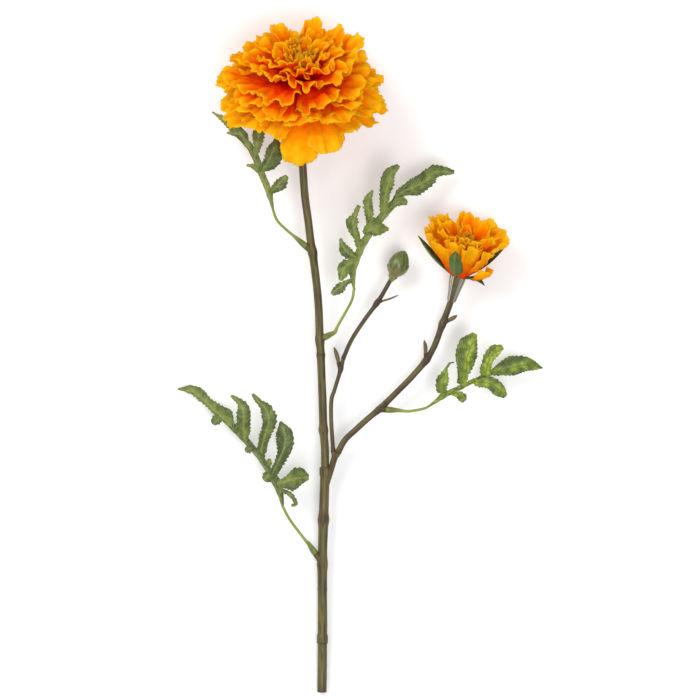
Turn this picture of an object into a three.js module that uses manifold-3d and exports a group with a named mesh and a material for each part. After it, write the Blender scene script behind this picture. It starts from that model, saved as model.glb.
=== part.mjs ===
// Artificial marigold spray: one open bloom, one half-open bloom and a closed bud on a plug-together stem
// with four compound leaves. It lies on a surface: X to the right, Y from the cut end to the large bloom,
// Z up, with the origin under the middle of its bounding box. Millimetres.
import * as THREE from 'three';
import { mergeVertices } from 'three/addons/utils/BufferGeometryUtils.js';
import Module from 'manifold-3d';

const wasm = await Module();
wasm.setup();

// ---- Driving dimensions ----

const GAP = 0.3;

const LOWER_STEM_RADIUS = 3.05;
const UPPER_STEM_RADIUS = 2.55;
const BLOOM_STEM_RADIUS = 2.0;
const BUD_STEM_RADIUS = 1.35;
const STALK_RADIUS = 0.9;

const NODE_SWELL = 0.5;
const COLLAR_WALL = 0.55;
const COLLAR_LENGTH = 5.5;
const PLUG_RADIUS = 1.7;
const PLUG_LENGTH = 4.5;
const PEG_RADIUS = 1.0;
const PEG_LENGTH = 3.5;
const SLEEVE_RADIUS = 1.95;
const SLEEVE_LENGTH = 8;
const STALK_INSET = 2;

const BLADE_THICKNESS = 0.9;
const RIB_RADIUS = 0.8;

const PETAL_THICKNESS = 1.0;
const RING_STEP = 1.5;

const BLOOM_HUB = new THREE.Vector3(-36, 162.8, 47.8);
const BLOOM_TILT = THREE.MathUtils.degToRad(35);
const BLOOM_LEAN = 0;
const BLOOM_PEG_RADIUS = 2.0;
const CALYX_LENGTH = 20;
const CALYX_RADIUS = 9;

const SMALL_HUB = new THREE.Vector3(61.4, 51.1, 22.2);
const SMALL_TILT = THREE.MathUtils.degToRad(20);
const SMALL_LEAN = THREE.MathUtils.degToRad(15);
const SMALL_PEG_RADIUS = 1.4;
const SMALL_CALYX_LENGTH = 18;
const SMALL_CALYX_RADIUS = 5.2;

const BUD_LENGTH = 17.5;
const BUD_RADIUS = 6.1;

// ---- Materials ----

const finish = (color, roughness) => new THREE.MeshStandardMaterial({ color, roughness, metalness: 0 });
const stemPlastic = finish('#6f6844', 0.5);
const stalkPlastic = finish('#9aa64c', 0.5);
const leafFabric = finish('#6b7840', 0.8);
const brightLeafFabric = finish('#889a44', 0.8);
const budPlastic = finish('#737a45', 0.4);
const calyxPlastic = finish('#736850', 0.45);
const sepalFabric = finish('#5f6b26', 0.8);
const outerPetalFabric = finish('#f0b010', 0.85);
const midPetalFabric = finish('#e47a08', 0.85);
const deepPetalFabric = finish('#d94a06', 0.85);

// ---- Joining and cutting ----

const at = (x, y, z) => new THREE.Vector3(x, y, z);

function toSolid(geometry) {
  const bare = geometry.clone();
  bare.deleteAttribute('normal');
  bare.deleteAttribute('uv');
  const merged = mergeVertices(bare, 1e-4);
  const triangles = Uint32Array.from(merged.index.array);
  const vertices = Float32Array.from(merged.attributes.position.array);
  return new wasm.Manifold(new wasm.Mesh({ numProp: 3, vertProperties: vertices, triVerts: triangles }));
}

function toGeometry(solid) {
  const { vertProperties, triVerts } = solid.getMesh();
  const geometry = new THREE.BufferGeometry();
  geometry.setAttribute('position', new THREE.BufferAttribute(Float32Array.from(vertProperties), 3));
  geometry.setIndex(new THREE.BufferAttribute(Uint32Array.from(triVerts), 1));
  geometry.computeVertexNormals();
  return geometry;
}

// Joins the first list of geometries into one solid and takes the second list away from it.
function shape(joined, removed = []) {
  let solid = toSolid(joined[0]);
  for (const geometry of joined.slice(1)) solid = solid.add(toSolid(geometry));
  for (const geometry of removed) solid = solid.subtract(toSolid(geometry));
  return toGeometry(solid);
}

// ---- Basic forms ----

// A geometry built along +Y from the origin is turned and moved so that it runs from start towards end.
function lay(geometry, start, end) {
  const turn = new THREE.Quaternion().setFromUnitVectors(at(0, 1, 0), end.clone().sub(start).normalize());
  return geometry.applyQuaternion(turn).translate(start.x, start.y, start.z);
}

function rod(start, end, radius, endRadius = radius, sides = 10) {
  const length = start.distanceTo(end);
  const cylinder = new THREE.CylinderGeometry(endRadius, radius, length, sides).translate(0, length / 2, 0);
  return lay(cylinder, start, end);
}

function tube(route, radius, stepLength = 9, sides = 10) {
  const path = new THREE.CatmullRomCurve3(route);
  const section = new THREE.Shape();
  for (let side = 0; side < sides; side += 1) {
    const angle = (side / sides) * 2 * Math.PI;
    const point = [radius * Math.cos(angle), radius * Math.sin(angle)];
    if (side === 0) section.moveTo(...point);
    else section.lineTo(...point);
  }
  section.closePath();
  const steps = Math.max(2, Math.round(path.getLength() / stepLength));
  return new THREE.ExtrudeGeometry(section, { steps, extrudePath: path, bevelEnabled: false });
}

const heading = (from, to) => to.clone().sub(from).normalize();
const startHeading = (route) => heading(route[0], route[1]);
const endHeading = (route) => heading(route.at(-2), route.at(-1));
const beyond = (point, direction, distance) => point.clone().addScaledVector(direction, distance);

// A route whose first point is moved along it by the clearance between two pieces.
const clearStart = (route, clearance = GAP) => [
  beyond(route[0], startHeading(route), clearance),
  ...route.slice(1),
];

const plug = (point, direction) =>
  rod(beyond(point, direction, -1), beyond(point, direction, PLUG_LENGTH), PLUG_RADIUS);
const bore = (point, direction) =>
  rod(beyond(point, direction, -1), beyond(point, direction, PLUG_LENGTH + 2 * GAP), PLUG_RADIUS + GAP);
const collar = (point, direction, radius) =>
  rod(point, beyond(point, direction, COLLAR_LENGTH), radius + COLLAR_WALL);

// A swelling of the stem at a node, as long as it is wide.
const swelling = (point, direction, radius) =>
  rod(beyond(point, direction, -radius), beyond(point, direction, radius), radius);

// ---- Stem routes ----

const baseRoute = [at(-23.6, -209.8, 2.95), at(-23.3, -179.5, 5.0)];
const lowerRoute = [
  at(-23.3, -179.5, 5.0),
  at(-23.3, -152.2, 6.8),
  at(-23.3, -124.9, 8.5),
  at(-22.6, -102.6, 9.9),
  at(-22.0, -84.0, 11.0),
  at(-21.6, -70.0, 11.9),
];
const middleRoute = [
  at(-21.6, -70.0, 11.9),
  at(-21.7, -59.2, 12.6),
  at(-22.6, -46.8, 13.4),
  at(-23.3, -25.1, 14.8),
  at(-24.3, -0.3, 16.3),
];
const upperRoute = [
  at(-24.3, -0.3, 16.3),
  at(-25.0, 10.2, 17.0),
  at(-26.0, 33.8, 18.5),
  at(-28.8, 58.6, 20.0),
  at(-30.6, 70.5, 20.7),
  at(-32.2, 83.4, 21.4),
  at(-34.1, 97.0, 22.0),
  at(-35.2, 111.0, 22.8),
  at(-35.8, 122.0, 24.4),
  at(-36.0, 132.0, 27.8),
  at(-36.0, 140.0, 32.1),
  at(-36.0, 145.8, 35.9),
];
const forkStart = at(-18.4, -79.0, 12.8);
const forkEnd = at(-14.7, -60.5, 14.8);
const forkHeading = heading(forkStart, forkEnd);

const budLowerRoute = [
  at(-16.8, -59.3, 14.8),
  at(-17.9, -40.6, 15.2),
  at(-17.7, -28.2, 15.2),
  at(-15.8, -22.0, 15.2),
  at(-12.1, -9.6, 15.2),
  at(-10.3, -2.0, 15.1),
];
const budUpperRoute = [
  at(-10.3, -2.0, 15.1),
  at(-5.3, 9.0, 15.0),
  at(2.8, 21.4, 14.6),
  at(11.5, 33.8, 13.9),
  at(18.3, 46.2, 12.9),
];
const bloomLowerRoute = [
  at(-12.8, -59.8, 14.4),
  at(-9.3, -53.0, 14.2),
  at(-2.8, -46.8, 13.8),
  at(4.0, -40.6, 13.3),
  at(11.2, -34.6, 12.9),
  at(16.0, -30.2, 12.6),
];
const bloomUpperRoute = [
  at(16.0, -30.2, 12.6),
  at(24.2, -22.0, 12.2),
  at(30.4, -15.8, 12.0),
  at(36.0, -9.6, 11.8),
  at(41.2, -3.4, 11.6),
  at(45.0, 2.8, 11.4),
  at(47.7, 9.0, 11.3),
  at(51.0, 18.5, 11.7),
  at(54.1, 26.6, 13.2),
  at(56.9, 34.3, 15.5),
];

// ---- Leaves: where each sits on its stem, and its blade ----

// Each leaflet springs from the rib at a share of the rib's length and runs to its tip.
const leaves = [
  {
    number: 1,
    fabric: leafFabric,
    node: at(-29.4, 63.5, 20.3),
    carrierRadius: UPPER_STEM_RADIUS + NODE_SWELL,
    carrierHeading: at(-0.15, 0.98, 0.05),
    outward: at(-0.72, 0.62, 0.32),
    stalk: [at(-46.7, 78.2, 29), at(-51.5, 83.4, 31), at(-54.1, 90.2, 32)],
    rib: [at(-57.7, 101.4, 32), at(-62, 111.9, 31), at(-67.6, 126.2, 29), at(-75.6, 136.1, 25)],
    leaflets: [
      { share: 0.93, tip: at(-92.0, 150.0, 19), width: 9, roll: 10 },
      { share: 0.9, tip: at(-83.0, 136.0, 27), width: 7, roll: -20 },
      { share: 0.6, tip: at(-64.0, 138.5, 30), width: 9, roll: 15 },
      { share: 0.36, tip: at(-54.0, 139.0, 33), width: 12, roll: 20 },
      { share: 0.4, tip: at(-70.6, 118.0, 34), width: 6, roll: -25 },
      { share: 0.12, tip: at(-44.8, 109.5, 36), width: 11, roll: 15 },
    ],
  },
  {
    number: 2,
    fabric: leafFabric,
    node: at(-25.0, 9.0, 16.9),
    carrierRadius: UPPER_STEM_RADIUS + NODE_SWELL,
    carrierHeading: at(-0.04, 0.99, 0.06),
    outward: at(0.8, 0.42, 0.43),
    stalk: [at(-13.8, 17.7, 22.5), at(-9.9, 24.5, 24), at(-5.0, 33.8, 25.5), at(-3.6, 41.2, 26)],
    rib: [at(-3.4, 48, 26), at(-2.0, 55.5, 26), at(5.6, 72.2, 25), at(19.2, 91.5, 22), at(27, 98, 20)],
    leaflets: [
      { share: 0.9, tip: at(58.9, 112.0, 12), width: 10, roll: 20 },
      { share: 0.72, tip: at(25.0, 117.5, 27), width: 10, roll: -15 },
      { share: 0.48, tip: at(8.5, 102.0, 31), width: 8, roll: -20 },
      { share: 0.36, tip: at(19.0, 77.0, 19), width: 12, roll: 20 },
      { share: 0.3, tip: at(-2.0, 92.5, 32), width: 10, roll: -10 },
      { share: 0.22, tip: at(-14.5, 64.0, 28), width: 8, roll: 15 },
      { share: 0.14, tip: at(-13.6, 54.5, 28), width: 7, roll: 10 },
      { share: 0.08, tip: at(-18.0, 39.5, 28), width: 7, roll: 10 },
    ],
  },
  {
    number: 3,
    fabric: leafFabric,
    node: at(-23.2, -130.0, 8.2),
    carrierRadius: LOWER_STEM_RADIUS,
    carrierHeading: at(0.01, 0.99, 0.06),
    outward: at(-0.55, 0.8, 0.24),
    stalk: [at(-34.1, -115.0, 13.5), at(-43.4, -102.6, 16.5), at(-48.4, -93.3, 18)],
    rib: [at(-51.5, -84, 18.5), at(-58.9, -70.4, 18.5), at(-67, -59.2, 18), at(-86.2, -38.1, 14.5)],
    leaflets: [
      { share: 0.93, tip: at(-113.4, -21.6, 5), width: 15, roll: -10 },
      { share: 0.66, tip: at(-80.0, -25.6, 21), width: 9, roll: -15 },
      { share: 0.45, tip: at(-64.5, -24.5, 24), width: 10, roll: -10 },
      { share: 0.2, tip: at(-49.6, -41.2, 23), width: 12, roll: -12 },
      { share: 0.05, tip: at(-31.8, -76.4, 17), width: 14, roll: 15 },
      { share: 0.42, tip: at(-72.0, -60.5, 15), width: 5, roll: 10 },
      { share: 0.1, tip: at(-61.0, -80.0, 15), width: 5, roll: 10 },
    ],
  },
  {
    number: 4,
    fabric: brightLeafFabric,
    node: at(11.8, -33.9, 12.8),
    carrierRadius: BLOOM_STEM_RADIUS,
    carrierHeading: at(0.76, 0.65, -0.05),
    outward: at(0.95, -0.06, 0.28),
    stalk: [at(30.4, -35.2, 17), at(39.7, -33.5, 18.5), at(44.0, -31.3, 19)],
    rib: [at(48.5, -28.8, 19.5), at(53.9, -25.4, 19.5), at(68.8, -17.7, 18), at(82.5, -11.3, 15)],
    leaflets: [
      { share: 0.95, tip: at(113.4, -8.8, 6), width: 13, roll: 10 },
      { share: 0.4, tip: at(72.5, 12.6, 25), width: 13, roll: -15 },
      { share: 0.78, tip: at(88.8, 4.6, 20), width: 11, roll: -10 },
      { share: 0.5, tip: at(89.8, -27.4, 15), width: 11, roll: 15 },
      { share: 0.2, tip: at(63.4, -30.9, 16), width: 6, roll: 20 },
      { share: 0.08, tip: at(57.5, -5.5, 26), width: 7, roll: -20 },
    ],
  },
];

// Half width of a leaflet along its length, as shares of its width and length, with two teeth a side.
const LEAFLET_EDGE = [
  [0, 0.12],
  [0.26, 0.42],
  [0.33, 0.37],
  [0.52, 0.5],
  [0.6, 0.41],
  [0.8, 0.3],
  [1, 0],
];

const leafNumber = (number) => leaves.find((leaf) => leaf.number === number);

// How far from a stem's middle a piece of its own radius must start, leaning off it, to stay clear of it.
function clearReach(carrierRadius, carrierHeading, outward, radius) {
  const lean = carrierHeading.angleTo(outward);
  return (carrierRadius + radius * Math.cos(lean) + GAP) / Math.sin(lean);
}

// The boss and peg on the stem that a leaf's sleeve pushes over.
const bossReach = ({ carrierRadius, carrierHeading, outward }) =>
  clearReach(carrierRadius, carrierHeading, outward, SLEEVE_RADIUS);

function boss(leaf) {
  const end = beyond(leaf.node, leaf.outward.clone().normalize(), bossReach(leaf));
  return rod(leaf.node, end, SLEEVE_RADIUS, SLEEVE_RADIUS, 8);
}

function peg(leaf) {
  const end = beyond(leaf.node, leaf.outward.clone().normalize(), bossReach(leaf) + PEG_LENGTH);
  return rod(leaf.node, end, PEG_RADIUS, PEG_RADIUS, 6);
}

function leafStalk(leaf) {
  const outward = leaf.outward.clone().normalize();
  const sleeveStart = beyond(leaf.node, outward, bossReach(leaf) + GAP);
  const sleeveEnd = beyond(sleeveStart, outward, SLEEVE_LENGTH);
  const pocketEnd = beyond(sleeveStart, outward, PEG_LENGTH + GAP);
  const route = [beyond(sleeveEnd, outward, -STALK_INSET), ...leaf.stalk];
  return shape(
    [rod(sleeveStart, sleeveEnd, SLEEVE_RADIUS, SLEEVE_RADIUS * 0.75, 8), tube(route, STALK_RADIUS, 7, 6)],
    [rod(beyond(sleeveStart, outward, -1), pocketEnd, PEG_RADIUS + GAP, PEG_RADIUS + GAP, 6)],
  );
}

// A toothed blade from base to tip whose face is turned towards a direction, then rolled about its length.
function toothedBlade(base, { tip, width, roll = 0 }, towards = at(0, 0, 1)) {
  const length = base.distanceTo(tip);
  const corner = (side) => ([along, half]) => new THREE.Vector2(side * half * width, along * length);
  const edge = (side) => LEAFLET_EDGE.map(corner(side));
  const outline = new THREE.Shape([...edge(1).slice(0, -1), ...edge(-1).reverse()]);
  const blade = new THREE.ExtrudeGeometry(outline, { depth: BLADE_THICKNESS, bevelEnabled: false });
  blade.translate(0, 0, -BLADE_THICKNESS / 2);
  const along = heading(base, tip);
  const across = new THREE.Vector3().crossVectors(along, towards).normalize();
  const facing = new THREE.Vector3().crossVectors(across, along);
  const basis = new THREE.Matrix4().makeBasis(across, along, facing);
  blade.rotateY(THREE.MathUtils.degToRad(roll));
  return blade.applyMatrix4(basis).translate(base.x, base.y, base.z);
}

function leafBlade(leaf) {
  const lastStalk = leaf.stalk.at(-1);
  const ribStart = beyond(lastStalk, endHeading(leaf.stalk), 2 * GAP);
  const rib = [ribStart, ...leaf.rib];
  const ribCurve = new THREE.CatmullRomCurve3(rib);
  const leaflets = leaf.leaflets.map((leaflet) => toothedBlade(ribCurve.getPointAt(leaflet.share), leaflet));
  return shape([tube(rib, RIB_RADIUS, 8, 6), ...leaflets]);
}

// ---- Blooms ----

// A group whose +Y is the bloom's axis, whose +X is level and whose +Z faces up and towards the cut end.
function bloomGroup(hub, tilt, lean) {
  const group = new THREE.Group();
  const axis = at(Math.sin(lean) * Math.cos(tilt), Math.cos(lean) * Math.cos(tilt), Math.sin(tilt));
  const level = new THREE.Vector3().crossVectors(axis, at(0, 0, 1)).normalize();
  const front = new THREE.Vector3().crossVectors(level, axis);
  group.setRotationFromMatrix(new THREE.Matrix4().makeBasis(level, axis, front));
  group.position.copy(hub);
  return group;
}

// A ruffled dish: a flat ring round the peg, then a skirt that leaves it and bows over to its margin.
// angle is the margin's direction from the bloom's axis; bow is how far the skirt arches before it.
// waves and ripple give the ruffle's count and height, and droop lets the layer fall at its front.
function petalLayer(layer) {
  const { ringHeight, ringRadius, ringWidth, angle, reach, bow, waves, ripple, phase, around, droop } = layer;
  const skirtStart = new THREE.Vector2(ringRadius + ringWidth, ringHeight);
  const margin = new THREE.Vector2(Math.sin(angle), Math.cos(angle)).multiplyScalar(reach);
  const rise = new THREE.Vector2(Math.sin(angle - bow), Math.cos(angle - bow)).multiplyScalar(reach * 0.5);
  const middle = [new THREE.Vector2(ringRadius, ringHeight)];
  middle.push(...new THREE.QuadraticBezierCurve(skirtStart, rise.add(skirtStart), margin).getPoints(3));
  const lower = [];
  const upper = [];
  middle.forEach((point, index) => {
    const before = middle[Math.max(index - 1, 0)];
    const after = middle[Math.min(index + 1, middle.length - 1)];
    const along = after.clone().sub(before).normalize();
    const offset = new THREE.Vector2(-along.y, along.x).multiplyScalar(PETAL_THICKNESS / 2);
    lower.push(point.clone().sub(offset));
    upper.push(point.clone().add(offset));
  });
  const outline = [...lower, ...upper.reverse()];
  const dish = new THREE.LatheGeometry([...outline, outline[0]], around);
  const position = dish.attributes.position;
  for (let index = 0; index < position.count; index += 1) {
    const radial = Math.hypot(position.getX(index), position.getZ(index));
    const turn = Math.atan2(position.getX(index), position.getZ(index));
    const height = position.getY(index);
    const share = Math.max(0, (Math.hypot(radial, height) - skirtStart.x - 2) / reach) ** 1.5;
    const frontShare = Math.max(0, Math.cos(turn)) ** 4;
    const shift = ripple * share * Math.cos(waves * turn + phase) - droop * share * frontShare;
    const newRadial = radial - shift * Math.cos(angle);
    const newHeight = height + shift * Math.sin(angle);
    position.setXYZ(index, newRadial * Math.sin(turn), newHeight, newRadial * Math.cos(turn));
  }
  return dish;
}

function cup(length, baseRadius, topRadius, topHeight, pegRadius, pegTop, sides) {
  const base = topHeight - length;
  const profile = [
    [0, base],
    [baseRadius, base],
    [baseRadius * 1.15, base + length * 0.2],
    [topRadius * 0.82, base + length * 0.55],
    [topRadius, topHeight - 1.2],
    [topRadius * 0.94, topHeight],
    [pegRadius, topHeight],
    [pegRadius, pegTop],
    [0, pegTop],
  ];
  return new THREE.LatheGeometry(profile.map(([r, y]) => new THREE.Vector2(r, y)), sides);
}

// A star of pointed lobes with a hole for the peg, drooping under the petals.
function sepalStar({ holeRadius, innerRadius, outerRadius, points, topHeight, droop }) {
  const outline = new THREE.Shape();
  for (let corner = 0; corner < points * 2; corner += 1) {
    const angle = (corner / (points * 2)) * 2 * Math.PI;
    const radius = corner % 2 === 0 ? outerRadius : innerRadius;
    const point = [radius * Math.cos(angle), radius * Math.sin(angle)];
    if (corner === 0) outline.moveTo(...point);
    else outline.lineTo(...point);
  }
  outline.closePath();
  const hole = new THREE.Path().absarc(0, 0, holeRadius, 0, 2 * Math.PI, true);
  outline.holes.push(hole);
  const flat = { depth: BLADE_THICKNESS, bevelEnabled: false, curveSegments: 5 };
  const star = new THREE.ExtrudeGeometry(outline, flat);
  star.rotateX(-Math.PI / 2).translate(0, topHeight - BLADE_THICKNESS, 0);
  const position = star.attributes.position;
  for (let index = 0; index < position.count; index += 1) {
    const share = Math.hypot(position.getX(index), position.getZ(index)) / outerRadius;
    position.setY(index, position.getY(index) - droop * share ** 2);
  }
  return star;
}

function tuft(baseRadius, baseHeight, topRadius, topHeight, sides) {
  const height = topHeight - baseHeight;
  const profile = [
    [0, baseHeight],
    [baseRadius, baseHeight],
    [topRadius * 0.7, baseHeight + height * 0.5],
    [topRadius, baseHeight + height * 0.85],
    [topRadius * 0.7, topHeight - height * 0.03],
    [0, topHeight],
  ];
  return new THREE.LatheGeometry(profile.map(([r, y]) => new THREE.Vector2(r, y)), sides);
}

// ---- Side shoots: undeveloped buds and a twig, each seated on a boss of its stem ----

const sideShoots = [
  {
    name: 'side_bud_1',
    node: at(-12.1, -9.0, 15.2),
    carrierRadius: BUD_STEM_RADIUS,
    carrierHeading: at(0.3, 0.95, 0),
    outward: at(-0.27, 0.9, 0.34),
    radius: 1.25,
    length: 11,
  },
  {
    name: 'side_bud_2',
    node: at(41.2, -3.4, 11.6),
    carrierRadius: BLOOM_STEM_RADIUS,
    carrierHeading: at(0.52, 0.85, -0.03),
    outward: at(-0.1, 0.9, 0.42),
    radius: 1.25,
    length: 9.5,
  },
  {
    name: 'side_bud_3',
    node: at(51.2, 19.0, 11.8),
    carrierRadius: BLOOM_STEM_RADIUS,
    carrierHeading: at(0.35, 0.92, 0.12),
    outward: at(0.84, 0.5, 0.22),
    radius: 1.3,
    length: 7,
  },
  {
    name: 'side_twig',
    node: at(10.4, 32.0, 14.0),
    carrierRadius: BUD_STEM_RADIUS,
    carrierHeading: at(0.55, 0.83, -0.06),
    outward: at(0.94, 0.34, 0.04),
    radius: 0.8,
    length: 11,
  },
];

const shootReach = ({ carrierRadius, carrierHeading, outward, radius }) =>
  clearReach(carrierRadius, carrierHeading, outward, radius);

function shootBoss(shoot) {
  const end = beyond(shoot.node, shoot.outward.clone().normalize(), shootReach(shoot));
  return rod(shoot.node, end, shoot.radius, shoot.radius, 8);
}

function shootSpindle(shoot) {
  const direction = shoot.outward.clone().normalize();
  const start = beyond(shoot.node, direction, shootReach(shoot) + GAP);
  const profile = [
    [0, 0],
    [shoot.radius * 0.8, 0],
    [shoot.radius, shoot.length * 0.25],
    [shoot.radius * 0.85, shoot.length * 0.6],
    [shoot.radius * 0.35, shoot.length * 0.93],
    [0, shoot.length],
  ];
  const spindle = new THREE.LatheGeometry(profile.map(([r, y]) => new THREE.Vector2(r, y)), 8);
  return lay(spindle, start, beyond(start, direction, shoot.length));
}

// ---- Assembly ----

const spray = new THREE.Group();
spray.name = 'marigold_spray';

function addPiece(parent, name, geometry, material) {
  const mesh = new THREE.Mesh(geometry, material);
  mesh.name = name;
  parent.add(mesh);
}

// Main stem: each length plugs into the collar or bore of its neighbour.
function addMainStem() {
  const baseTop = baseRoute.at(-1);
  const baseUp = endHeading(baseRoute);
  const base = shape([tube(baseRoute, LOWER_STEM_RADIUS), plug(baseTop, baseUp)]);
  addPiece(spray, 'stem_base', base, stemPlastic);

  const lowerTube = clearStart(lowerRoute);
  const lowerTop = lowerRoute.at(-1);
  const lowerDown = endHeading(lowerRoute).negate();
  const lower = shape(
    [
      tube(lowerTube, LOWER_STEM_RADIUS),
      collar(lowerTube[0], baseUp, LOWER_STEM_RADIUS),
      collar(lowerTop, lowerDown, LOWER_STEM_RADIUS),
      swelling(lowerRoute[3], heading(lowerRoute[2], lowerRoute[4]), LOWER_STEM_RADIUS + 0.6),
      boss(leafNumber(3)),
      peg(leafNumber(3)),
      rod(forkStart, forkEnd, BLOOM_STEM_RADIUS - 0.4, BLOOM_STEM_RADIUS),
      rod(beyond(forkEnd, forkHeading, -3), forkEnd, BLOOM_STEM_RADIUS + 0.4, BLOOM_STEM_RADIUS + 1.1),
    ],
    [bore(lowerTube[0], baseUp), bore(lowerTop, lowerDown)],
  );
  addPiece(spray, 'stem_lower', lower, stemPlastic);

  const middleTube = clearStart(middleRoute);
  const middleDown = endHeading(middleRoute).negate();
  const middle = shape(
    [
      tube(middleTube, UPPER_STEM_RADIUS),
      plug(middleTube[0], lowerDown),
      swelling(middleRoute[2], heading(middleRoute[1], middleRoute[3]), UPPER_STEM_RADIUS + NODE_SWELL),
    ],
    [bore(middleRoute.at(-1), middleDown)],
  );
  addPiece(spray, 'stem_middle', middle, stemPlastic);

  const upperTube = clearStart(upperRoute);
  const upper = [tube(upperTube, UPPER_STEM_RADIUS), plug(upperTube[0], middleDown)];
  for (const leaf of [leafNumber(1), leafNumber(2)]) {
    const upwards = leaf.carrierHeading.clone().normalize();
    upper.push(swelling(leaf.node, upwards, UPPER_STEM_RADIUS + NODE_SWELL), boss(leaf), peg(leaf));
  }
  addPiece(spray, 'stem_upper', shape(upper), stemPlastic);
}

// Side branch: two stems rise from the fork's collar, each in two lengths that meet at a node.
function addSideBranch() {
  const [firstBud, secondBud, thirdBud, twig] = sideShoots;
  const budLower = shape([tube(budLowerRoute, BUD_STEM_RADIUS, 7, 8), shootBoss(firstBud)]);
  addPiece(spray, 'bud_stem_lower', budLower, stemPlastic);
  const budUpperTube = tube(clearStart(budUpperRoute, 2 * GAP), BUD_STEM_RADIUS, 7, 8);
  addPiece(spray, 'bud_stem_upper', shape([budUpperTube, shootBoss(twig)]), stemPlastic);

  const bloomLower = shape([
    tube(bloomLowerRoute, BLOOM_STEM_RADIUS, 8),
    swelling(leafNumber(4).node, endHeading(bloomLowerRoute), BLOOM_STEM_RADIUS + 0.3),
    boss(leafNumber(4)),
    peg(leafNumber(4)),
  ]);
  addPiece(spray, 'bloom_stem_lower', bloomLower, stemPlastic);
  const bloomUpper = shape([
    tube(clearStart(bloomUpperRoute), BLOOM_STEM_RADIUS, 8),
    shootBoss(secondBud),
    shootBoss(thirdBud),
  ]);
  addPiece(spray, 'bloom_stem_upper', bloomUpper, stemPlastic);

  for (const shoot of sideShoots) addPiece(spray, shoot.name, shootSpindle(shoot), budPlastic);
}

// Four compound leaves: a stalk whose sleeve covers the stem's peg, and a blade at the stalk's end.
function addLeaves() {
  for (const leaf of leaves) {
    addPiece(spray, `leaf_stalk_${leaf.number}`, leafStalk(leaf), stalkPlastic);
    addPiece(spray, `leaf_blade_${leaf.number}`, leafBlade(leaf), leaf.fabric);
  }
}

// Closed bud: a small cup on the bud stem's end and an egg-shaped bud in it.
function addBud() {
  const direction = heading(at(20.2, 48.0, 12.6), at(27.3, 64.8, 14.0));
  const cupStart = beyond(budUpperRoute.at(-1), direction, 2 * GAP);
  const cupProfile = [[0, 0], [1.5, 0], [2.7, 1.4], [3.1, 3.2], [2.5, 3.6], [0, 3.6]];
  const cupShape = new THREE.LatheGeometry(cupProfile.map(([r, y]) => new THREE.Vector2(r, y)), 12);
  addPiece(spray, 'bud_calyx', lay(cupShape, cupStart, beyond(cupStart, direction, 1)), calyxPlastic);

  const eggStart = beyond(cupStart, direction, 3.6 + GAP);
  const eggProfile = [new THREE.Vector2(0, 0)];
  for (let ring = 1; ring < 9; ring += 1) {
    const share = ring / 9;
    const swell = Math.sin(Math.PI * share ** 0.82) ** 0.75;
    eggProfile.push(new THREE.Vector2(BUD_RADIUS * swell, BUD_LENGTH * share));
  }
  eggProfile.push(new THREE.Vector2(0, BUD_LENGTH));
  const egg = new THREE.LatheGeometry(eggProfile, 16);
  addPiece(spray, 'bud', lay(egg, eggStart, beyond(eggStart, direction, 1)), budPlastic);
}

// Half-open bloom: a ridged cup, five sepals round its rim and four ruffled layers on its peg.
function addSmallBloom() {
  const bloom = bloomGroup(SMALL_HUB, SMALL_TILT, SMALL_LEAN);
  spray.add(bloom);
  const layerPitch = PETAL_THICKNESS + GAP;
  const layerCount = 4;
  const pegTop = layerCount * layerPitch + GAP;
  const rimHeight = -2.0;
  const calyx = cup(
    SMALL_CALYX_LENGTH + rimHeight,
    BLOOM_STEM_RADIUS + 0.4,
    SMALL_CALYX_RADIUS,
    rimHeight,
    SMALL_PEG_RADIUS,
    pegTop,
    14,
  );
  addPiece(bloom, 'small_calyx', calyx, calyxPlastic);

  const sepals = [
    { turn: -92, lean: 66, length: 31, width: 6.5 },
    { turn: -12, lean: 44, length: 21, width: 7.5 },
    { turn: 62, lean: 80, length: 16, width: 6.5 },
    { turn: 112, lean: 66, length: 29, width: 6.5 },
    { turn: 190, lean: 66, length: 16, width: 6.5 },
  ];
  sepals.forEach(({ turn, lean, length, width }, index) => {
    const turnAngle = THREE.MathUtils.degToRad(turn);
    const leanAngle = THREE.MathUtils.degToRad(lean);
    const radial = at(Math.sin(turnAngle), 0, Math.cos(turnAngle));
    const seat = SMALL_CALYX_RADIUS + GAP + (BLADE_THICKNESS / 2) * Math.cos(leanAngle);
    const start = beyond(at(0, rimHeight - 1.5, 0), radial, seat);
    const outwards = beyond(start, radial, length * Math.sin(leanAngle));
    const tip = beyond(outwards, at(0, 1, 0), length * Math.cos(leanAngle));
    addPiece(bloom, `small_sepal_${index + 1}`, toothedBlade(start, { tip, width }, radial), sepalFabric);
  });

  const layers = [
    { angle: 60, reach: 33, droop: -10, waves: 5, ripple: 1.2, phase: 0.4 },
    { angle: 47, reach: 35, droop: -6.5, waves: 5, ripple: 1.2, phase: 0.9 },
    { angle: 34, reach: 37, droop: -3, waves: 5, ripple: 1.0, phase: 0.6 },
    { angle: 22, reach: 37, droop: 0, waves: 5, ripple: 0.8, phase: 0.2 },
  ];
  layers.forEach((layer, index) => {
    const dish = petalLayer({
      ...layer,
      angle: THREE.MathUtils.degToRad(layer.angle),
      bow: THREE.MathUtils.degToRad(12),
      ringHeight: GAP + PETAL_THICKNESS / 2 + index * layerPitch,
      ringRadius: SMALL_PEG_RADIUS + GAP,
      ringWidth: (layers.length - index) * RING_STEP,
      around: 18,
    });
    addPiece(bloom, `small_petals_${index + 1}`, dish, index < 2 ? midPetalFabric : deepPetalFabric);
  });
  addPiece(bloom, 'small_centre', tuft(1.4, pegTop + GAP, 4.6, 27, 10), deepPetalFabric);
}

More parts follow.
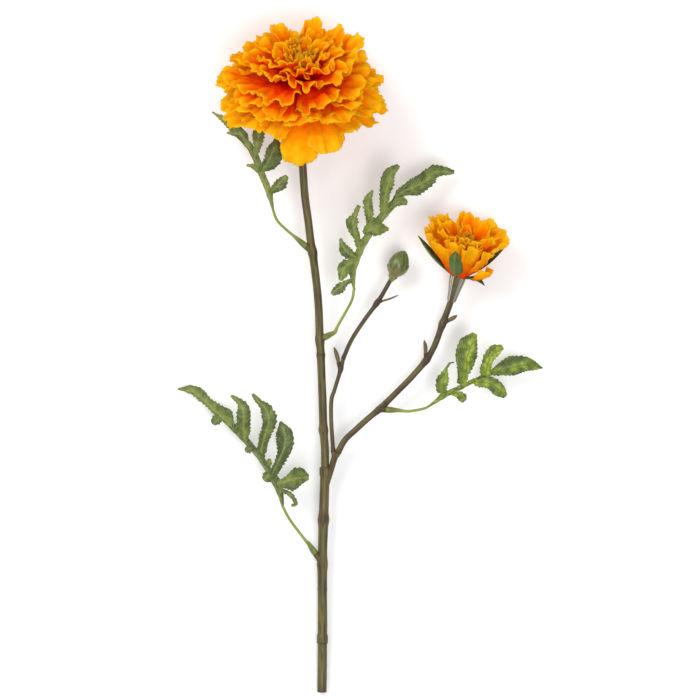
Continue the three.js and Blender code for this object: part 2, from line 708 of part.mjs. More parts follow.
// Open bloom: a ridged cup, a star of sepals and eight ruffled layers on its peg.
function addLargeBloom() {
  const bloom = bloomGroup(BLOOM_HUB, BLOOM_TILT, BLOOM_LEAN);
  spray.add(bloom);
  const layerPitch = PETAL_THICKNESS + GAP;
  const angles = [104, 89, 77, 64, 52, 42, 31, 22];
  const reaches = [50.5, 52, 49.8, 48.4, 46.5, 47.2, 43.5, 38.3];
  const pegTop = angles.length * layerPitch + GAP;
  const sepalDroop = 2;
  const rimHeight = -BLADE_THICKNESS - 2 * GAP - 0.35 * sepalDroop;
  const calyx = cup(
    CALYX_LENGTH + rimHeight,
    UPPER_STEM_RADIUS + 0.5,
    CALYX_RADIUS,
    rimHeight,
    BLOOM_PEG_RADIUS,
    pegTop,
    18,
  );
  addPiece(bloom, 'main_calyx', calyx, calyxPlastic);
  const star = sepalStar({
    holeRadius: BLOOM_PEG_RADIUS + GAP,
    innerRadius: 11,
    outerRadius: 24,
    points: 8,
    topHeight: -GAP,
    droop: sepalDroop,
  });
  addPiece(bloom, 'main_sepals', star, sepalFabric);

  angles.forEach((angle, index) => {
    const dish = petalLayer({
      angle: THREE.MathUtils.degToRad(angle),
      reach: reaches[index],
      bow: THREE.MathUtils.degToRad(14),
      ringHeight: GAP + PETAL_THICKNESS / 2 + index * layerPitch,
      ringRadius: BLOOM_PEG_RADIUS + GAP,
      ringWidth: (angles.length - index) * RING_STEP,
      waves: 7,
      ripple: 1.6,
      phase: index * 0.5,
      droop: index === 0 ? 9 : 0,
      around: 26,
    });
    const fabric = index < 2 ? outerPetalFabric : midPetalFabric;
    addPiece(bloom, `petal_layer_${index + 1}`, dish, index < 6 ? fabric : deepPetalFabric);
  });
  addPiece(bloom, 'centre_florets', tuft(2.2, pegTop + GAP, 6.0, 32, 12), deepPetalFabric);
}

addMainStem();
addSideBranch();
addLeaves();
addBud();
addSmallBloom();
addLargeBloom();

export default spray;
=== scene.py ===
import math
import random

import bmesh
import bpy
from mathutils import Matrix, Vector, noise
from mathutils.geometry import interpolate_bezier


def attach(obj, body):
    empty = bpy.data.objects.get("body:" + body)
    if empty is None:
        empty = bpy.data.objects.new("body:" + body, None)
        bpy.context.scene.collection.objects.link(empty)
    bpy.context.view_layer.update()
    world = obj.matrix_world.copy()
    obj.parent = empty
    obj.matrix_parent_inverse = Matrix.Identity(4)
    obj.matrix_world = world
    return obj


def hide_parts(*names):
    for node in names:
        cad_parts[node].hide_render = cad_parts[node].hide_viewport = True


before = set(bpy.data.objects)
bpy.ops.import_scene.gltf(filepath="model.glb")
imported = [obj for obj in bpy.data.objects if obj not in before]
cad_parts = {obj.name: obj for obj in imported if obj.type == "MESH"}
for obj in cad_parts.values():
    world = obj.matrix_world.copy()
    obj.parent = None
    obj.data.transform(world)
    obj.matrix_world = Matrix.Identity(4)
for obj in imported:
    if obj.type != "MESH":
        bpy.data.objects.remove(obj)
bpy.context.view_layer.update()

# ---- Camera, floor and light ----
# The spray lies on its back, so the camera looks straight down on it through a long lens. The floor is a
# wide pale sweep, and the light is soft and near white: a large box at the upper left, another one above
# the stem, and a bright room round them.

MM = 0.001
FIELD_WIDTH = 434 * MM
FIELD_CENTRE = Vector((-6.2, 2.8, 22)) * MM
FLOOR_REACH = 9.0
scene = bpy.context.scene
scene.view_settings.view_transform = "Standard"

camera_data = bpy.data.cameras.new("camera")
camera_data.sensor_width = 36
camera_data.lens = 800
camera = bpy.data.objects.new("camera", camera_data)
camera.location = FIELD_CENTRE + Vector((0, 0, FIELD_WIDTH * camera_data.lens / camera_data.sensor_width))
scene.collection.objects.link(camera)
scene.camera = camera


def hex_colour(code):
    """A written sRGB colour as the linear colour that the shaders take."""
    channels = [int(code[i:i + 2], 16) / 255 for i in (1, 3, 5)]
    return [c / 12.92 if c <= 0.04045 else ((c + 0.055) / 1.055) ** 2.4 for c in channels] + [1.0]


def fill(tree, node, inputs):
    """Sets a node's inputs. A socket is linked, a node is linked by its result, anything else is a value."""
    for name, value in inputs.items():
        if isinstance(value, bpy.types.Node):
            value = value.outputs[2 if value.bl_idname == "ShaderNodeMix" else 0]
        if isinstance(value, bpy.types.NodeSocket):
            tree.links.new(value, node.inputs[name])
        else:
            node.inputs[name].default_value = value


def add(tree, kind, inputs=(), stops=(), **settings):
    """Adds a node with its settings and inputs. stops are a colour ramp's places and colours."""
    made = tree.nodes.new("ShaderNode" + kind)
    for name, value in settings.items():
        setattr(made, name, value)
    fill(tree, made, dict(inputs))
    for index, (place, colour) in enumerate(stops):
        ends = made.color_ramp.elements
        stop = ends[index] if index < 2 else ends.new(place)
        stop.position = place
        stop.color = hex_colour(colour)
    return made


def new_material(name):
    """An empty material's node tree and its Principled shader."""
    made = bpy.data.materials.new(name)
    made.use_nodes = True
    return made, made.node_tree, made.node_tree.nodes["Principled BSDF"]


def area_light(name, place, aim, size, power, colour):
    """A round soft box that faces its aim."""
    light = bpy.data.lights.new(name, "AREA")
    light.shape = "DISK"
    light.size = size
    light.energy = power
    light.color = hex_colour(colour)[:3]
    lamp = bpy.data.objects.new(name, light)
    lamp.location = place
    lamp.rotation_euler = (Vector(aim) - Vector(place)).to_track_quat("-Z", "Y").to_euler()
    scene.collection.objects.link(lamp)


area_light("key_box", (-1.1, 1.0, 1.7), (0, 0.02, 0.02), 1.3, 24, "#fffbf4")
area_light("fill_box", (0.4, -0.5, 2.3), (0, 0, 0.02), 1.4, 27, "#fbfcff")
world = bpy.data.worlds.new("room")
scene.world = world
world.use_nodes = True
sky = world.node_tree.nodes["Background"]
fill(world.node_tree, sky, {"Color": hex_colour("#fbfbfc"), "Strength": 0.67})

bm = bmesh.new()
bmesh.ops.create_grid(bm, x_segments=1, y_segments=1, size=FLOOR_REACH)
floor_mesh = bpy.data.meshes.new("floor")
bm.to_mesh(floor_mesh)
bm.free()
floor = bpy.data.objects.new("floor", floor_mesh)
scene.collection.objects.link(floor)
floor_material, tree, shader = new_material("matt_paper_sweep")
fill(tree, shader, {"Base Color": hex_colour("#f9f9f9"), "Roughness": 0.9, "Specular IOR Level": 0.1})
floor.data.materials.append(floor_material)

# ---- Main stem: four lengths that plug into each other ----
# Each length is moulded in olive polyethylene and hand painted with purple-brown streaks. The lowest length
# sits in a collar, the fork's collar is at its top, and swellings mark where leaves leave it.


def mm(x, y, z):
    """A place given in millimetres."""
    return Vector((x, y, z)) * MM


CURVE_STEPS = 24


def along(points, step=None, count=None):
    """Points on a smooth curve through the given ones, a step apart or a count of even steps."""
    ends = [2 * points[0] - points[1], *points, 2 * points[-1] - points[-2]]
    dense = []
    for before, start, end, after in zip(ends, ends[1:], ends[2:], ends[3:]):
        leaving, arriving = start + (end - before) / 6, end - (after - start) / 6
        dense += interpolate_bezier(start, leaving, arriving, end, CURVE_STEPS)[:-1]
    dense.append(points[-1])
    distances = [0.0]
    for a, b in zip(dense, dense[1:]):
        distances.append(distances[-1] + (b - a).length)
    count = count or max(2, round(distances[-1] / step))
    stations, index = [], 0
    for number in range(count + 1):
        wanted = distances[-1] * number / count
        while index < len(dense) - 2 and distances[index + 1] < wanted:
            index += 1
        share = (wanted - distances[index]) / (distances[index + 1] - distances[index])
        stations.append(dense[index].lerp(dense[index + 1], share))
    return stations


LEAST_RADIUS = 0.02 * MM


def sweep(bm, points, radius_at, sides=18, step=1.0 * MM):
    """A closed tube: a circle extruded from station to station. grain keeps each point's place in the section
    and its distance along, in millimetres, for paint and mould marks that run with the tube."""
    grain = bm.verts.layers.float_vector["grain"]
    stations = along(points, step)
    heading = (stations[1] - stations[0]).normalized()
    turn = heading.to_track_quat("Z", "Y")
    edges, last, distance = [], None, 0.0
    for index, place in enumerate(stations):
        after = stations[min(index + 1, len(stations) - 1)]
        before = stations[max(index - 1, 0)]
        new_heading = (after - before).normalized()
        turn = heading.rotation_difference(new_heading) @ turn
        heading = new_heading
        distance += (place - before).length
        radius = max(radius_at(place, index / (len(stations) - 1)), LEAST_RADIUS)
        matrix = Matrix.LocRotScale(place, turn, Vector((radius, radius, radius)))
        if last is None:
            ring = bmesh.ops.create_circle(bm, segments=sides, radius=1, matrix=matrix)["verts"]
            edges = list({edge for vertex in ring for edge in vertex.link_edges})
            bmesh.ops.contextual_create(bm, geom=edges)
        else:
            made = bmesh.ops.extrude_edge_only(bm, edges=edges)["geom"]
            ring = [g for g in made if isinstance(g, bmesh.types.BMVert)]
            bmesh.ops.transform(bm, matrix=matrix @ last.inverted(), verts=ring)
            inside = set(ring)
            edges = [g for g in made if isinstance(g, bmesh.types.BMEdge) and inside.issuperset(g.verts)]
        back = matrix.inverted()
        for vertex in ring:
            local = back @ vertex.co * radius / MM
            vertex[grain] = (local.x, local.y, distance / MM)
        last = matrix
    bmesh.ops.contextual_create(bm, geom=edges)


def new_form():
    """An empty mesh with the layers that the shapes below fill in."""
    bm = bmesh.new()
    bm.verts.layers.float_vector.new("grain")
    bm.verts.layers.float.new("tone")
    bm.loops.layers.uv.new("UVMap")
    return bm


def finish_piece(name, bm, materials, slot, *nodes, closed=True):
    """Makes the form a shown piece that stands for the CAD nodes."""
    if closed:
        bmesh.ops.recalc_face_normals(bm, faces=bm.faces[:])
    mesh = bpy.data.meshes.new(name)
    bm.to_mesh(mesh)
    bm.free()
    mesh.shade_smooth()
    for material in materials:
        mesh.materials.append(material)
    piece = bpy.data.objects.new(name, mesh)
    scene.collection.objects.link(piece)
    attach(piece, "root")
    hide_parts(*nodes)
    return piece


def drawn_noise(tree, stretch, scale, detail, roughness=0.5):
    """Noise drawn out along a tube or a turned form, as paint and pigment run."""
    grain = add(tree, "Attribute", attribute_name="grain").outputs["Vector"]
    drawn = add(tree, "Mapping", {"Vector": grain, "Scale": stretch})
    return add(tree, "TexNoise", {"Vector": drawn, "Scale": scale, "Detail": detail, "Roughness": roughness})


def painted_stem():
    """Moulded polyethylene, olive with drawn-out purple-brown paint: waxy, with dull and shiny streaks."""
    material, tree, shader = new_material("painted_olive_polyethylene")
    tone = add(tree, "Attribute", attribute_name="tone").outputs["Fac"]
    # Brush streaks are about 1 mm wide and 15 mm long, blotches of base colour 25 mm long.
    streak = drawn_noise(tree, (0.55, 0.55, 0.045), 1.6, 4.0, 0.6)
    blotch = drawn_noise(tree, (0.16, 0.16, 0.03), 1.3, 2.0)
    olive = add(tree, "ValToRGB", {"Fac": blotch}, stops=[
        (0.32, "#4c4822"), (0.68, "#6a632e"), (0.5, "#5a5528")])
    brown = add(tree, "ValToRGB", {"Fac": blotch}, stops=[
        (0.35, "#3e2b1a"), (0.65, "#513a25")])
    marked = add(tree, "Math", {0: streak, 1: tone}, operation="ADD")
    share = add(tree, "MapRange", {"Value": marked, "From Min": 0.46, "From Max": 0.62})
    paint = add(tree, "Mix", {0: share, 6: olive, 7: brown}, data_type="RGBA")
    gloss = add(tree, "MapRange", {"Value": streak, "To Min": 0.36, "To Max": 0.62})
    relief = add(tree, "Bump", {"Height": streak, "Strength": 0.35, "Distance": 0.25 * MM})
    fill(tree, shader, {"Base Color": paint, "Roughness": gloss, "Normal": relief,
                        "Specular IOR Level": 0.35})
    return material


STEM_PAINT = painted_stem()


def swelling(point, height, reach):
    """A node on a stem: how much it widens the tube at a place."""
    return lambda place: height * math.exp(-((place - point).length / reach) ** 2)


def collar(end, wall, length):
    """A socket's thicker wall, which stops short with a small round step."""
    return lambda place: wall * min(1.0, max(0.0, (length - (place - end).length) / (0.7 * MM)))


def widened(radius, features, taper=0.0):
    """The radius along a stem: its own, less a taper, with what its nodes and collars add."""
    return lambda place, share: radius - taper * share + sum(feature(place) for feature in features)


def mark(bm, points, depth, reach):
    """Darkens the paint round points of a form, as it gathers at nodes and joints."""
    tone = bm.verts.layers.float["tone"]
    for vertex in bm.verts:
        near = min((vertex.co - point).length for point in points)
        vertex[tone] += depth * math.exp(-(near / reach) ** 2)


END_CAP_RADIUS = 0.4


def flute(bm, depth, count):
    """Shallow grooves down a stem, which the mould leaves."""
    grain = bm.verts.layers.float_vector["grain"]
    for vertex in bm.verts:
        x, y, distance = vertex[grain]
        radius = math.hypot(x, y)
        if radius > END_CAP_RADIUS:
            wander = noise.noise(Vector((x, y, distance * 0.06)))
            vertex.co += vertex.normal * depth * (math.cos(count * math.atan2(y, x)) + 1.6 * wander)


base_route = [mm(-23.6, -209.8, 2.95), mm(-23.3, -178.7, 5.0)]
lower_route = [
    mm(-23.3, -179.2, 5.0), mm(-23.3, -152.2, 6.8), mm(-23.3, -124.9, 8.5),
    mm(-22.6, -102.6, 9.9), mm(-22.0, -84.0, 11.0), mm(-21.6, -70.0, 11.9),
]
middle_route = [
    mm(-21.6, -71.0, 11.9), mm(-21.7, -59.2, 12.6), mm(-22.6, -46.8, 13.4),
    mm(-23.3, -25.1, 14.8), mm(-24.3, -0.3, 16.3),
]
upper_route = [
    mm(-24.3, -0.5, 16.3), mm(-25.0, 10.2, 17.0), mm(-26.0, 33.8, 18.5), mm(-28.8, 58.6, 20.0),
    mm(-30.6, 70.5, 20.7), mm(-32.2, 83.4, 21.4), mm(-34.1, 97.0, 22.0), mm(-35.2, 111.0, 22.8),
    mm(-35.8, 122.0, 24.4), mm(-36.0, 132.0, 27.8), mm(-36.0, 140.0, 32.1), mm(-36.0, 145.8, 35.9),
]
leaf_nodes = {
    1: mm(-29.4, 63.5, 20.3), 2: mm(-25.0, 9.0, 16.9), 3: mm(-23.2, -130.0, 8.2), 4: mm(11.8, -33.9, 12.8)}
leaf_headings = {
    1: Vector((-0.72, 0.62, 0.32)), 2: Vector((0.8, 0.42, 0.43)),
    3: Vector((-0.55, 0.8, 0.24)), 4: Vector((0.95, -0.06, 0.28))}
sleeve_reach = {1: 6.7 * MM, 2: 4.4 * MM, 3: 9.0 * MM, 4: 5.5 * MM}
BOSS_RADIUS = 1.95 * MM


def leaf_boss(bm, number):
    """The short stub that a leaf's sleeve is pushed on to."""
    node, outward = leaf_nodes[number], leaf_headings[number].normalized()
    end = node + outward * sleeve_reach[number]
    middle = node.lerp(end, 0.5)
    sweep(bm, [node, middle, end], lambda place, share: BOSS_RADIUS * (1.08 - 0.12 * share), 14)


def stem_length(node, tubes, grooves, marks, mark_depth, mark_reach, bosses=()):
    """One length of the main stem: its tubes as route, radius and sides, the depth of the mould's grooves,
    the places where paint gathered and the stubs for its leaves."""
    bm = new_form()
    for route, radius_at, sides in tubes:
        sweep(bm, route, radius_at, sides)
    for number in bosses:
        leaf_boss(bm, number)
    flute(bm, grooves * MM, 5)
    mark(bm, marks, mark_depth, mark_reach * MM)
    finish_piece("moulded_" + node, bm, [STEM_PAINT], "stem_plastic", node)


stem_length("stem_base", [(base_route, lambda place, share: (2.9 + 0.12 * share) * MM, 18)],
            0.05, [base_route[0]], 0.1, 4)

lower_features = [
    collar(lower_route[0], 0.5 * MM, 5.5 * MM), collar(lower_route[-1], 0.55 * MM, 5.5 * MM),
    swelling(lower_route[3], 0.75 * MM, 3.2 * MM), swelling(mm(-23.2, -145.5, 7.2), 0.2 * MM, 1.2 * MM),
    swelling(leaf_nodes[3], 0.45 * MM, 4 * MM),
]
fork_start, fork_end = mm(-20.6, -80.5, 11.7), mm(-14.7, -60.5, 14.8)
fork_route = [fork_start, fork_start.lerp(fork_end, 0.5), fork_end]
fork_collar = collar(fork_end, 0.7 * MM, 3.2 * MM)
lower_tubes = [
    (lower_route, widened(3.0 * MM, lower_features), 18),
    (fork_route, widened(1.75 * MM, [fork_collar], -0.3 * MM), 16),
]
lower_marks = [mm(-22.6, -101.5, 12), mm(-21.6, -70.5, 12), fork_end, mm(-23.3, -169.0, 6)]
stem_length("stem_lower", lower_tubes, 0.06, lower_marks, 0.22, 2.6, bosses=[3])

middle_features = [
    swelling(middle_route[2], 0.6 * MM, 2.6 * MM), swelling(middle_route[-1], 0.35 * MM, 1.6 * MM)]
stem_length("stem_middle", [(middle_route, widened(2.55 * MM, middle_features), 18)],
            0.06, [middle_route[2], middle_route[-1]], 0.2, 2.4)

upper_features = [
    swelling(upper_route[0], 0.35 * MM, 1.6 * MM), swelling(leaf_nodes[2], 0.55 * MM, 3 * MM),
    swelling(leaf_nodes[1], 0.6 * MM, 3 * MM),
]
upper_marks = [upper_route[0], leaf_nodes[1] + mm(2, -2, 2), leaf_nodes[2]]
stem_length("stem_upper", [(upper_route, widened(2.55 * MM, upper_features, 0.1 * MM), 18)],
            0.06, upper_marks, 0.18, 3, bosses=[1, 2])

# ---- Side branch: the bud's stem and the smaller bloom's stem ----
# Two thinner stems of the same moulding rise from the fork's collar. Each is in two lengths that meet at a
# node, and small undeveloped buds and a twig are moulded separately and pushed on at the nodes.

bud_lower_route = [
    mm(-16.5, -60.8, 14.8), mm(-17.9, -40.6, 15.2), mm(-17.7, -28.2, 15.2),
    mm(-15.8, -22.0, 15.2), mm(-12.1, -9.6, 15.2), mm(-10.3, -2.0, 15.1),
]
bud_upper_route = [
    mm(-10.6, -2.8, 15.1), mm(-5.3, 9.0, 15.0), mm(2.8, 21.4, 14.6),
    mm(11.8, 33.8, 13.9), mm(19.0, 46.2, 12.9),
]
bloom_lower_route = [
    mm(-13.9, -61.2, 14.5), mm(-9.3, -53.0, 14.2), mm(-2.8, -46.8, 13.8),
    mm(4.0, -40.6, 13.3), mm(11.2, -34.6, 12.9), mm(16.0, -30.2, 12.6),
]
bloom_upper_route = [
    mm(15.4, -30.8, 12.6), mm(24.2, -22.0, 12.2), mm(30.4, -15.8, 12.0), mm(36.0, -9.6, 11.8),
    mm(41.2, -3.4, 11.6), mm(45.0, 2.8, 11.4), mm(47.7, 9.0, 11.3), mm(51.0, 18.5, 11.7),
    mm(54.1, 26.6, 13.2), mm(56.9, 34.3, 15.5),
]
# Name, node on the stem, heading, radius, length and the reach of the stub that carries it, in millimetres.
side_shoots = [
    ("side_bud_1", mm(-12.1, -9.0, 15.2), Vector((-0.27, 0.9, 0.34)), 1.25, 11, 4.9),
    ("side_bud_2", mm(41.2, -3.4, 11.6), Vector((-0.1, 0.9, 0.42)), 1.25, 9.5, 5.0),
    ("side_bud_3", mm(51.2, 19.0, 11.8), Vector((0.84, 0.5, 0.22)), 1.3, 7, 4.6),
    ("side_twig", mm(10.4, 32.0, 14.0), Vector((0.94, 0.34, 0.04)), 0.8, 11, 3.7),
]
shoot_nodes = {name: node for name, node, *_ in side_shoots}


def shoot_boss(bm, wanted):
    """The stub of a stem that a side shoot is pushed on to."""
    for name, node, outward, radius, length, reach in side_shoots:
        if name == wanted:
            end = node + outward.normalized() * reach * MM
            stub = [node, node.lerp(end, 0.5), end]
            sweep(bm, stub, lambda place, share: (radius + 0.35 - 0.35 * share) * MM, 12)


BROWN_SIDE = Vector((-0.8, 0.4, 0.3))


def thin_stem(node, route, radius, nodes, bosses, taper=0.0):
    """One length of the side branch with its swollen nodes, given as point, height and reach, and the stubs
    for what sits on it. Its upper left side took most of the brown paint."""
    bm = new_form()
    features = [swelling(point, height * MM, reach * MM) for point, height, reach in nodes]
    sweep(bm, route, widened(radius * MM, features, taper * MM), 14, 0.9 * MM)
    for boss in bosses:
        if boss == "leaf":
            leaf_boss(bm, 4)
        else:
            shoot_boss(bm, boss)
    flute(bm, 0.04 * MM, 4)
    mark(bm, [point for point, height, reach in nodes], 0.2, 3 * MM)
    tone = bm.verts.layers.float["tone"]
    for vertex in bm.verts:
        vertex[tone] += 0.05 + 0.12 * vertex.normal.dot(BROWN_SIDE)
    finish_piece("moulded_" + node, bm, [STEM_PAINT], "stem_plastic", node)


thin_stem("bud_stem_lower", bud_lower_route, 1.3,
          [(bud_lower_route[0], 0.3, 2.5), (shoot_nodes["side_bud_1"], 0.45, 2.2)], ["side_bud_1"])
thin_stem("bud_stem_upper", bud_upper_route, 1.35,
          [(bud_upper_route[0], 0.15, 2), (shoot_nodes["side_twig"], 0.6, 2.4)], ["side_twig"])
thin_stem("bloom_stem_lower", bloom_lower_route, 1.95,
          [(bloom_lower_route[0], 0.2, 3), (leaf_nodes[4], 0.45, 3), (bloom_lower_route[-1], 0.25, 1.5)],
          ["leaf"])
thin_stem("bloom_stem_upper", bloom_upper_route, 1.95,
          [(bloom_upper_route[0], 0.25, 1.5), (shoot_nodes["side_bud_2"], 0.55, 2.8),
           (shoot_nodes["side_bud_3"], 0.6, 2.8)], ["side_bud_2", "side_bud_3"], taper=-0.1)


def shoot_paint():
    """Moulded polyethylene brushed with the stem's purple-brown and wiped to olive at its tip: satin."""
    material, tree, shader = new_material("painted_bud_polyethylene")
    streak = drawn_noise(tree, (0.7, 0.7, 0.12), 1.5, 3.0)
    colour = add(tree, "ValToRGB", {"Fac": streak}, stops=[
        (0.36, "#5c3a2a"), (0.66, "#686036"), (0.5, "#5a4530")])
    relief = add(tree, "Bump", {"Height": streak, "Strength": 0.4, "Distance": 0.2 * MM})
    fill(tree, shader, {"Base Color": colour, "Normal": relief, "Roughness": 0.42})
    return material


SHOOT_PAINT = shoot_paint()
SEAT = 0.6 * MM


def twig_radius(place, share):
    """Thinner towards the tip, and rounded off at it."""
    return (0.78 - 0.3 * share - 0.25 * share ** 8) * MM


for name, node, outward, radius, length, reach in side_shoots:
    direction = outward.normalized()
    start = node + direction * (reach * MM - SEAT)
    end = start + direction * length * MM
    lean = direction.cross(Vector((0, 0, 1))).normalized() * length * 0.03 * MM
    route = [start, start.lerp(end, 0.5) + lean, end]

    def bud_radius(place, share):
        """Fullest below the middle, with a blunt point."""
        return radius * MM * (0.78 + 0.3 * math.sin(math.pi * share ** 0.8) - 0.72 * share ** 5)

    bm = new_form()
    if name == "side_twig":
        sweep(bm, route, twig_radius, 10, 0.7 * MM)
    else:
        sweep(bm, route, bud_radius, 14, 0.5 * MM)
        flute(bm, 0.08 * MM, 3)
    finish_piece("moulded_" + name, bm, [SHOOT_PAINT], "bud_plastic", name)

# ---- Leaf stalks ----
# Each stalk is a yellow-green polyethylene moulding: a wide sleeve that pushes over the stem's stub, drawn
# down to a thin stalk that the leaf's midrib is glued to.

stalk_points = {
    1: [mm(-46.7, 78.2, 29), mm(-51.5, 83.4, 31), mm(-54.1, 90.2, 32)],
    2: [mm(-13.8, 17.7, 22.5), mm(-9.9, 24.5, 24), mm(-5.0, 33.8, 25.5), mm(-3.6, 41.2, 26)],
    3: [mm(-34.1, -115.0, 13.5), mm(-43.4, -102.6, 16.5), mm(-48.4, -93.3, 18)],
    4: [mm(30.4, -35.2, 17), mm(39.7, -33.5, 18.5), mm(44.0, -31.3, 19)],
}


def stalk_plastic():
    """Moulded polyethylene, yellow-green and a little translucent: waxy, greener where it is thick."""
    material, tree, shader = new_material("yellow_green_polyethylene")
    tone = add(tree, "Attribute", attribute_name="tone").outputs["Fac"]
    streak = drawn_noise(tree, (0.4, 0.4, 0.08), 1.5, 3.0)
    both = add(tree, "Math", {0: streak, 1: tone}, operation="ADD")
    colour = add(tree, "ValToRGB", {"Fac": both}, stops=[
        (0.3, "#88943a"), (0.9, "#5c6430"), (0.62, "#74802e")])
    fill(tree, shader, {"Base Color": colour, "Roughness": 0.45, "Subsurface Weight": 0.15,
                        "Subsurface Radius": (0.8, 1.0, 0.3), "Subsurface Scale": 0.001})
    return material


STALK_PLASTIC = stalk_plastic()
SLEEVE_LENGTH = 11 * MM
for number, points in stalk_points.items():
    outward = leaf_headings[number].normalized()
    start = leaf_nodes[number] + outward * (sleeve_reach[number] - SEAT)
    route = [start, start + outward * 4 * MM, start + outward * 8 * MM, *points]
    bm = new_form()

    def stalk_radius(place, share):
        """The sleeve's radius, drawn down to the stalk's."""
        sleeve = max(0.0, 1 - (place - start).length / SLEEVE_LENGTH)
        return (0.88 + 1.15 * min(1.0, 1.25 * sleeve) ** 1.1) * MM

    sweep(bm, route, stalk_radius, 14, 0.9 * MM)
    mark(bm, [start + outward * 4 * MM], 0.3, 5 * MM)
    finish_piece(f"moulded_leaf_stalk_{number}", bm, [STALK_PLASTIC], "stalk_plastic", f"leaf_stalk_{number}")

# ---- Leaf blades ----
# Each blade is die-cut polyester cloth, pressed hot so that it keeps its folds, toothed at its margin and
# printed green. Narrow cloth wings and leaflets spring from a moulded midrib that ends the stalk.


def leaf_cloth(name, dark, middle, light, midrib_colour_and_fold_shade):
    """Pressed and printed polyester cloth: satin and mottled, creased along its midrib, with pale painted
    highlight on its pressed side veins and faint grey patches of painted sheen. The line along each lobe's
    middle takes the crease colour: the midrib's own pale colour on the darker cloth, painted shade in the
    fold on the bright one."""
    material, tree, shader = new_material(name)
    tone = add(tree, "Attribute", attribute_name="tone").outputs["Fac"]
    grain = add(tree, "Attribute", attribute_name="grain").outputs["Vector"]
    place = add(tree, "SeparateXYZ", {0: grain})
    solid = add(tree, "TexCoord").outputs["Object"]
    # Print mottle about 4 mm across, paler along the middle of each lobe, and weave drawn at 0.6 mm because
    # the 0.2 mm threads are too fine.
    mottle = add(tree, "TexNoise", {"Vector": solid, "Scale": 250.0, "Detail": 4.0, "Roughness": 0.62})
    weave = add(tree, "TexNoise", {"Vector": solid, "Scale": 1700.0, "Detail": 1.0})
    away = add(tree, "Math", {0: place.outputs["X"]}, operation="ABSOLUTE")
    paler_middle = add(tree, "MapRange", {"Value": away, "From Max": 4.5, "To Min": 0.1, "To Max": -0.08})
    worked = add(tree, "Math", {0: mottle, 1: 0.7, 2: paler_middle}, operation="MULTIPLY_ADD")
    shade = add(tree, "Math", {0: worked, 1: tone}, operation="ADD")
    base = add(tree, "ValToRGB", {"Fac": shade}, stops=[(0.2, dark), (0.5, light), (0.35, middle)])
    # Side veins every 2.6 mm slant towards the tip. The warp keeps them from being too regular. Their pale
    # colour is a painted highlight on the pressed veins.
    warp = add(tree, "TexNoise", {"Vector": solid, "Scale": 160.0, "Detail": 2.0})
    slant = add(tree, "Math", {0: away, 1: -1.5, 2: place.outputs["Y"]}, operation="MULTIPLY_ADD")
    phase = add(tree, "Math", {0: slant, 1: 2.4}, operation="MULTIPLY")
    bent = add(tree, "Math", {0: warp, 1: 5.0, 2: phase}, operation="MULTIPLY_ADD")
    wave = add(tree, "Math", {0: bent}, operation="SINE")
    vein_highlight_mask = add(tree, "MapRange", {"Value": wave, "From Min": 0.3, "From Max": 1.0, "To Max": 0.14})
    with_vein_highlight = add(tree, "Mix", {0: vein_highlight_mask, 6: base, 7: hex_colour("#a3ad66")}, data_type="RGBA")
    # Along each lobe's middle the colour turns to the crease colour: the midrib's own pale colour on the
    # darker cloth, painted shade in the fold on the bright one.
    folded = add(tree, "MapRange", {"Value": away, "From Min": 0.75, "From Max": 0.2, "To Max": 0.6})
    ribbed = add(tree, "Mix", {0: folded, 6: with_vein_highlight, 7: hex_colour(midrib_colour_and_fold_shade)}, data_type="RGBA")
    # Faint grey patches of painted sheen on the satin cloth.
    sheen_patch_noise = add(tree, "TexNoise", {"Vector": solid, "Scale": 190.0, "Detail": 5.0, "Roughness": 0.7})
    painted_sheen_mask = add(tree, "MapRange", {"Value": sheen_patch_noise, "From Min": 0.54, "From Max": 0.74, "To Max": 0.2})
    with_painted_sheen = add(tree, "Mix", {0: painted_sheen_mask, 6: ribbed, 7: hex_colour("#9aa276")}, data_type="RGBA")
    relief = add(tree, "Math", {0: weave, 1: 0.5, 2: wave}, operation="MULTIPLY_ADD")
    bump = add(tree, "Bump", {"Height": relief, "Strength": 0.4, "Distance": 0.3 * MM})
    fill(tree, shader, {"Base Color": with_painted_sheen, "Normal": bump, "Roughness": 0.5})
    return material


def leaf_underside():
    """The cloth's unprinted back: pale grey-green and dull. It also covers the cut edges, where its pale
    colour is partly a painted highlight along the margins.
    """
    material, tree, shader = new_material("unprinted_leaf_cloth")
    solid = add(tree, "TexCoord").outputs["Object"]
    mottle = add(tree, "TexNoise", {"Vector": solid, "Scale": 400.0, "Detail": 3.0})
    colour = add(tree, "ValToRGB", {"Fac": mottle}, stops=[(0.3, "#74835a"), (0.7, "#a2ab8a")])
    fill(tree, shader, {"Base Color": colour, "Roughness": 0.8})
    return material


# The last colour is the line along each lobe's middle: pale midrib on the first cloth, painted fold shade on
# the bright one.
LEAF_CLOTH = leaf_cloth("pressed_green_polyester_cloth", "#30400f", "#50601e", "#76842e", "#808858")
BRIGHT_LEAF_CLOTH = leaf_cloth(
    "pressed_bright_green_polyester_cloth", "#3a4c10", "#6a7e1a", "#a4b432", "#42560e")
LEAF_BACK_AND_EDGE_HIGHLIGHT = leaf_underside()


def read_width(widths, share):
    """A half width read from a list of them that are evenly spaced from base to tip."""
    place = share * (len(widths) - 1)
    index = min(int(place), len(widths) - 2)
    return widths[index] + (widths[index + 1] - widths[index]) * (place - index)


TOOTH_PITCH = 2.5
ROWS_PER_TOOTH = 4


def sheet(bm, columns, rows):
    """A flat grid to be moved into shape: each vertex with its place across, -1 to 1, and along, 0 to 1."""
    made = bmesh.ops.create_grid(bm, x_segments=columns, y_segments=rows, size=1, calc_uvs=True)["verts"]
    return [(vertex, vertex.co.x, (vertex.co.y + 1) / 2) for vertex in made]


